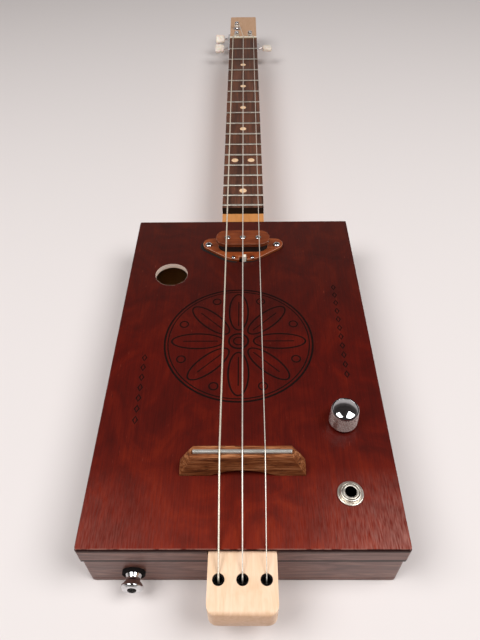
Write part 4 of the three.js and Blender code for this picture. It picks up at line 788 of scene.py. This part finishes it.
knobSettings = {
    "x": 62.6, "y": -64, "bottom": 47.3, "top": 63.0, "base": 8.0, "flare": 0.4, "topRadius": 8.3,
    "hollow": 7.4, "hollowDepth": 5, "skirt": 1.3, "shoulder": 2.9, "knurlDepth": 0.3, "steps": 60, "rows": 12,
    "rim": 0.4, "rimRise": 0.2, "rimCut": 0.25, "dome": 2.1,
    "domeShares": (0.98, 0.9, 0.8, 0.7, 0.6, 0.5, 0.4, 0.3, 0.2, 0.1),    # where the dome's rings lie
}
s = knobSettings
knurlLow, knurlHigh = s["bottom"] + s["skirt"], s["top"] - s["shoulder"]
rows = [i / s["rows"] for i in range(s["rows"] + 1)]
rimTop = s["top"] - s["dome"] + s["rimRise"]
domeFoot = s["topRadius"] - s["rimCut"] - s["rim"]
knobProfile = [    # the tenths of a millimetre are small rounded edges
    (0, s["bottom"] + s["hollowDepth"]), (s["hollow"], s["bottom"] + s["hollowDepth"]), (s["hollow"], s["bottom"]),
    (s["base"] - 0.2, s["bottom"]), (s["base"], s["bottom"] + 0.2), (s["base"], knurlLow - 0.2),
    (s["topRadius"] + s["flare"] - 0.1, knurlLow - 0.1),
    *[(s["topRadius"] + s["flare"] * (1 - row), knurlLow + (knurlHigh - knurlLow) * row) for row in rows],
    (s["topRadius"] - 0.2, knurlHigh + 0.2), (s["topRadius"], knurlHigh + 0.4), (s["topRadius"] - 0.05, rimTop - 0.2),
    (s["topRadius"] - s["rimCut"], rimTop), (domeFoot + 0.1, rimTop), (domeFoot, rimTop - 0.3),
]
ballRadius = (domeFoot ** 2 + s["dome"] ** 2) / 2 / s["dome"]
ballCentre = s["top"] - ballRadius
knobProfile += [(domeFoot * share, ballCentre + math.sqrt(ballRadius ** 2 - (domeFoot * share) ** 2))
                for share in s["domeShares"]]
knobProfile.append((0, s["top"]))
knob = spun(knobProfile, s["steps"])
bmesh.ops.recalc_face_normals(knob, faces=knob.faces)
knurled = [f for f in knob.faces if knurlLow < f.calc_center_median().z < knurlHigh
           and f.calc_center_median().xy.length > s["topRadius"] - 0.1]
poked = bmesh.ops.poke(knob, faces=knurled, offset=s["knurlDepth"], center_mode="MEAN")
for face in poked["faces"]:
    face.material_index = 1
knobPiece = finishPiece("volumeKnob", placed(knob, s["x"], s["y"]), chrome, "volume_control", 25)
knobPiece.data.materials.append(satinChrome)
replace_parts(knobPiece, "volume_knob")
print("knob made")


# Dark sheet under the pickup ring as its painted shadow: the ring's own outline, flattened, a little larger and askew

sheetSettings = {"centre": (0, 107.5), "grow": (1.02, 1.04), "shift": (-1.8, -0.45), "bottom": 46.52, "top": 46.68}
s = sheetSettings
sheet = copied("pickup_ring")
bmesh.ops.scale(sheet, vec=(1 / mm, 1 / mm, 1 / mm), verts=sheet.verts)
low = min(v.co.z for v in sheet.verts)
thickness = max(v.co.z for v in sheet.verts) - low
bmesh.ops.translate(sheet, vec=(-s["centre"][0], -s["centre"][1], -low), verts=sheet.verts)
bmesh.ops.scale(sheet, vec=(*s["grow"], (s["top"] - s["bottom"]) / thickness), verts=sheet.verts)
placed(sheet, s["centre"][0] + s["shift"][0], s["centre"][1] + s["shift"][1], s["bottom"])
finishPiece("pickupShadowSheet", sheet, shadowSheetMaterial, "guitar_body")


# Lid drawing: thin rings, veined petals, and chains of small diamonds on both sides

drawingSettings = {
    "x": -3, "y": 4, "bottom": 46.42, "top": 46.53, "line": 1.3, "thin": 0.6, "fine": 0.7, "firm": 0.9,    # line shares
    "outer": 53, "innerGap": 2.6, "hub": 7.5, "hubEye": 4, "petals": 8, "petal": (19, 7.5), "reach": 29,
    "veinBack": 2, "veinShare": 1.3, "bead": 3.4, "beadReach": 43,
    "chains": [(-68, -62, 7), (70, -26, 11)], "chainStep": 8.5, "diamond": (1.9, 3.2),
}


def inlaid(shape):
    s = drawingSettings
    low = min(v.co.z for v in shape.verts)
    return placed(shape, z=s["bottom"] - low)


def ribbonRing(radiusX, radiusY, x, y, line, turn=0, steps=96):
    s = drawingSettings
    shape = bmesh.new()
    bmesh.ops.create_circle(shape, segments=steps, radius=1)
    outerVerts = shape.verts[:]
    grown = bmesh.ops.extrude_edge_only(shape, edges=shape.edges[:])
    innerVerts = [v for v in grown["geom"] if isinstance(v, bmesh.types.BMVert)]
    bmesh.ops.scale(shape, vec=(radiusX, radiusY, 1), verts=outerVerts)
    bmesh.ops.scale(shape, vec=(radiusX - line, radiusY - line, 1), verts=innerVerts)
    bmesh.ops.solidify(shape, geom=shape.faces[:], thickness=s["top"] - s["bottom"])
    return inlaid(placed(shape, x, y, 0, Matrix.Rotation(turn, 4, "Z")))


def ribbonLine(x, y, length, line, turn):
    s = drawingSettings
    shape = bmesh.new()
    bmesh.ops.create_cube(shape, size=1)
    bmesh.ops.scale(shape, vec=(length, line, s["top"] - s["bottom"]), verts=shape.verts)
    return inlaid(placed(shape, x, y, 0, Matrix.Rotation(turn, 4, "Z")))


s = drawingSettings
centre = Vector((s["x"], s["y"]))
inner = s["outer"] - s["innerGap"]
thin, fine, firm = (s["line"] * s[share] for share in ("thin", "fine", "firm"))
lines = [ribbonRing(s["outer"], s["outer"], *centre, s["line"]), ribbonRing(inner, inner, *centre, thin),
         ribbonRing(s["hub"], s["hub"], *centre, s["line"]),
         ribbonRing(s["hubEye"], s["hubEye"], *centre, fine, steps=48)]
for i in range(s["petals"]):
    angle = math.tau * i / s["petals"]
    along, between = (Vector((math.cos(a), math.sin(a))) for a in (angle, angle + math.pi / s["petals"]))
    petal, vein = centre + along * s["reach"], centre + along * (s["reach"] - s["veinBack"])
    lines.append(ribbonRing(*s["petal"], *petal, firm, angle, 64))
    lines.append(ribbonLine(*vein, s["petal"][0] * s["veinShare"], thin, angle))
    lines.append(ribbonRing(s["bead"], s["bead"], *(centre + between * s["beadReach"]), fine, steps=32))
for x, y, count in s["chains"]:
    for i in range(count):
        lines.append(ribbonRing(*s["diamond"], x, y + i * s["chainStep"], fine, steps=4))
finishPiece("lidDrawing", gathered(lines), scorched, "guitar_body")
print("small pieces made")


# Floor of pale paper, and soft light from two boxes high on both sides

floorSettings = {"size": 9, "colour": "#e4dddb", "roughness": 0.9, "z": -0.2, "squares": 8}    # size in metres
s = floorSettings
paper, _, _ = newMaterial("mattPaper", s["colour"], {"Roughness": s["roughness"]})
floorShape = bmesh.new()
bmesh.ops.create_grid(floorShape, x_segments=s["squares"], y_segments=s["squares"], size=s["size"] / 2)
bmesh.ops.translate(floorShape, vec=(0, 0, s["z"] * mm), verts=floorShape.verts)
floorMesh = bpy.data.meshes.new("floor")
floorShape.to_mesh(floorMesh)
floorShape.free()
floorMesh.materials.append(paper)
floor = bpy.data.objects.new("floor", floorMesh)
bpy.context.collection.objects.link(floor)

lampSettings = [
    {"name": "leftSoftbox", "place": (-0.72, -0.32, 1.36), "size": 0.84, "power": 15.6},
    {"name": "rightSoftbox", "place": (0.77, -0.28, 1.36), "size": 0.84, "power": 17.2},
]
lampAim = Vector((0, 0.1, 0))
for s in lampSettings:
    lampData = bpy.data.lights.new(s["name"], "AREA")
    lampData.shape = "SQUARE"
    lampData.size = s["size"]
    lampData.energy = s["power"]
    lamp = bpy.data.objects.new(s["name"], lampData)
    lamp.location = s["place"]
    lamp.rotation_euler = (lampAim - Vector(s["place"])).to_track_quat("-Z", "Y").to_euler()
    bpy.context.collection.objects.link(lamp)

# A pale sweep all round, higher behind the headstock, and a dim room above it
backdropSettings = {"lift": -0.25, "range": (-0.18, 0.82), "strength": 0.8,
                    "stops": [(0, "#e0dad7"), (0.38, "#cfc8c5"), (0.54, "#5f5957"), (0.8, "#403b39")]}
s = backdropSettings
world = bpy.data.worlds.new("studio")
bpy.context.scene.world = world
world.use_nodes = True
tree = world.node_tree
direction = addNode(tree, "ShaderNodeTexCoord").outputs["Generated"]
parts = addNode(tree, "ShaderNodeSeparateXYZ", links={0: direction}).outputs
forward = addNode(tree, "ShaderNodeMath", {1: 0}, {0: parts[1]}, operation="MAXIMUM").outputs[0]
slant = addNode(tree, "ShaderNodeMath", {1: s["lift"]}, {0: forward, 2: parts[2]}, operation="MULTIPLY_ADD")
low, high = s["range"]
room = addNode(tree, "ShaderNodeMapRange", {1: low, 2: high}, {0: slant.outputs[0]}).outputs[0]
sky = addNode(tree, "ShaderNodeValToRGB", links={0: room}, stops=s["stops"])
backdrop = tree.nodes["Background"]
tree.links.new(sky.outputs[0], backdrop.inputs["Color"])
backdrop.inputs["Strength"].default_value = s["strength"]

bpy.context.scene.view_settings.view_transform = "Standard"
print("stage and lights set")
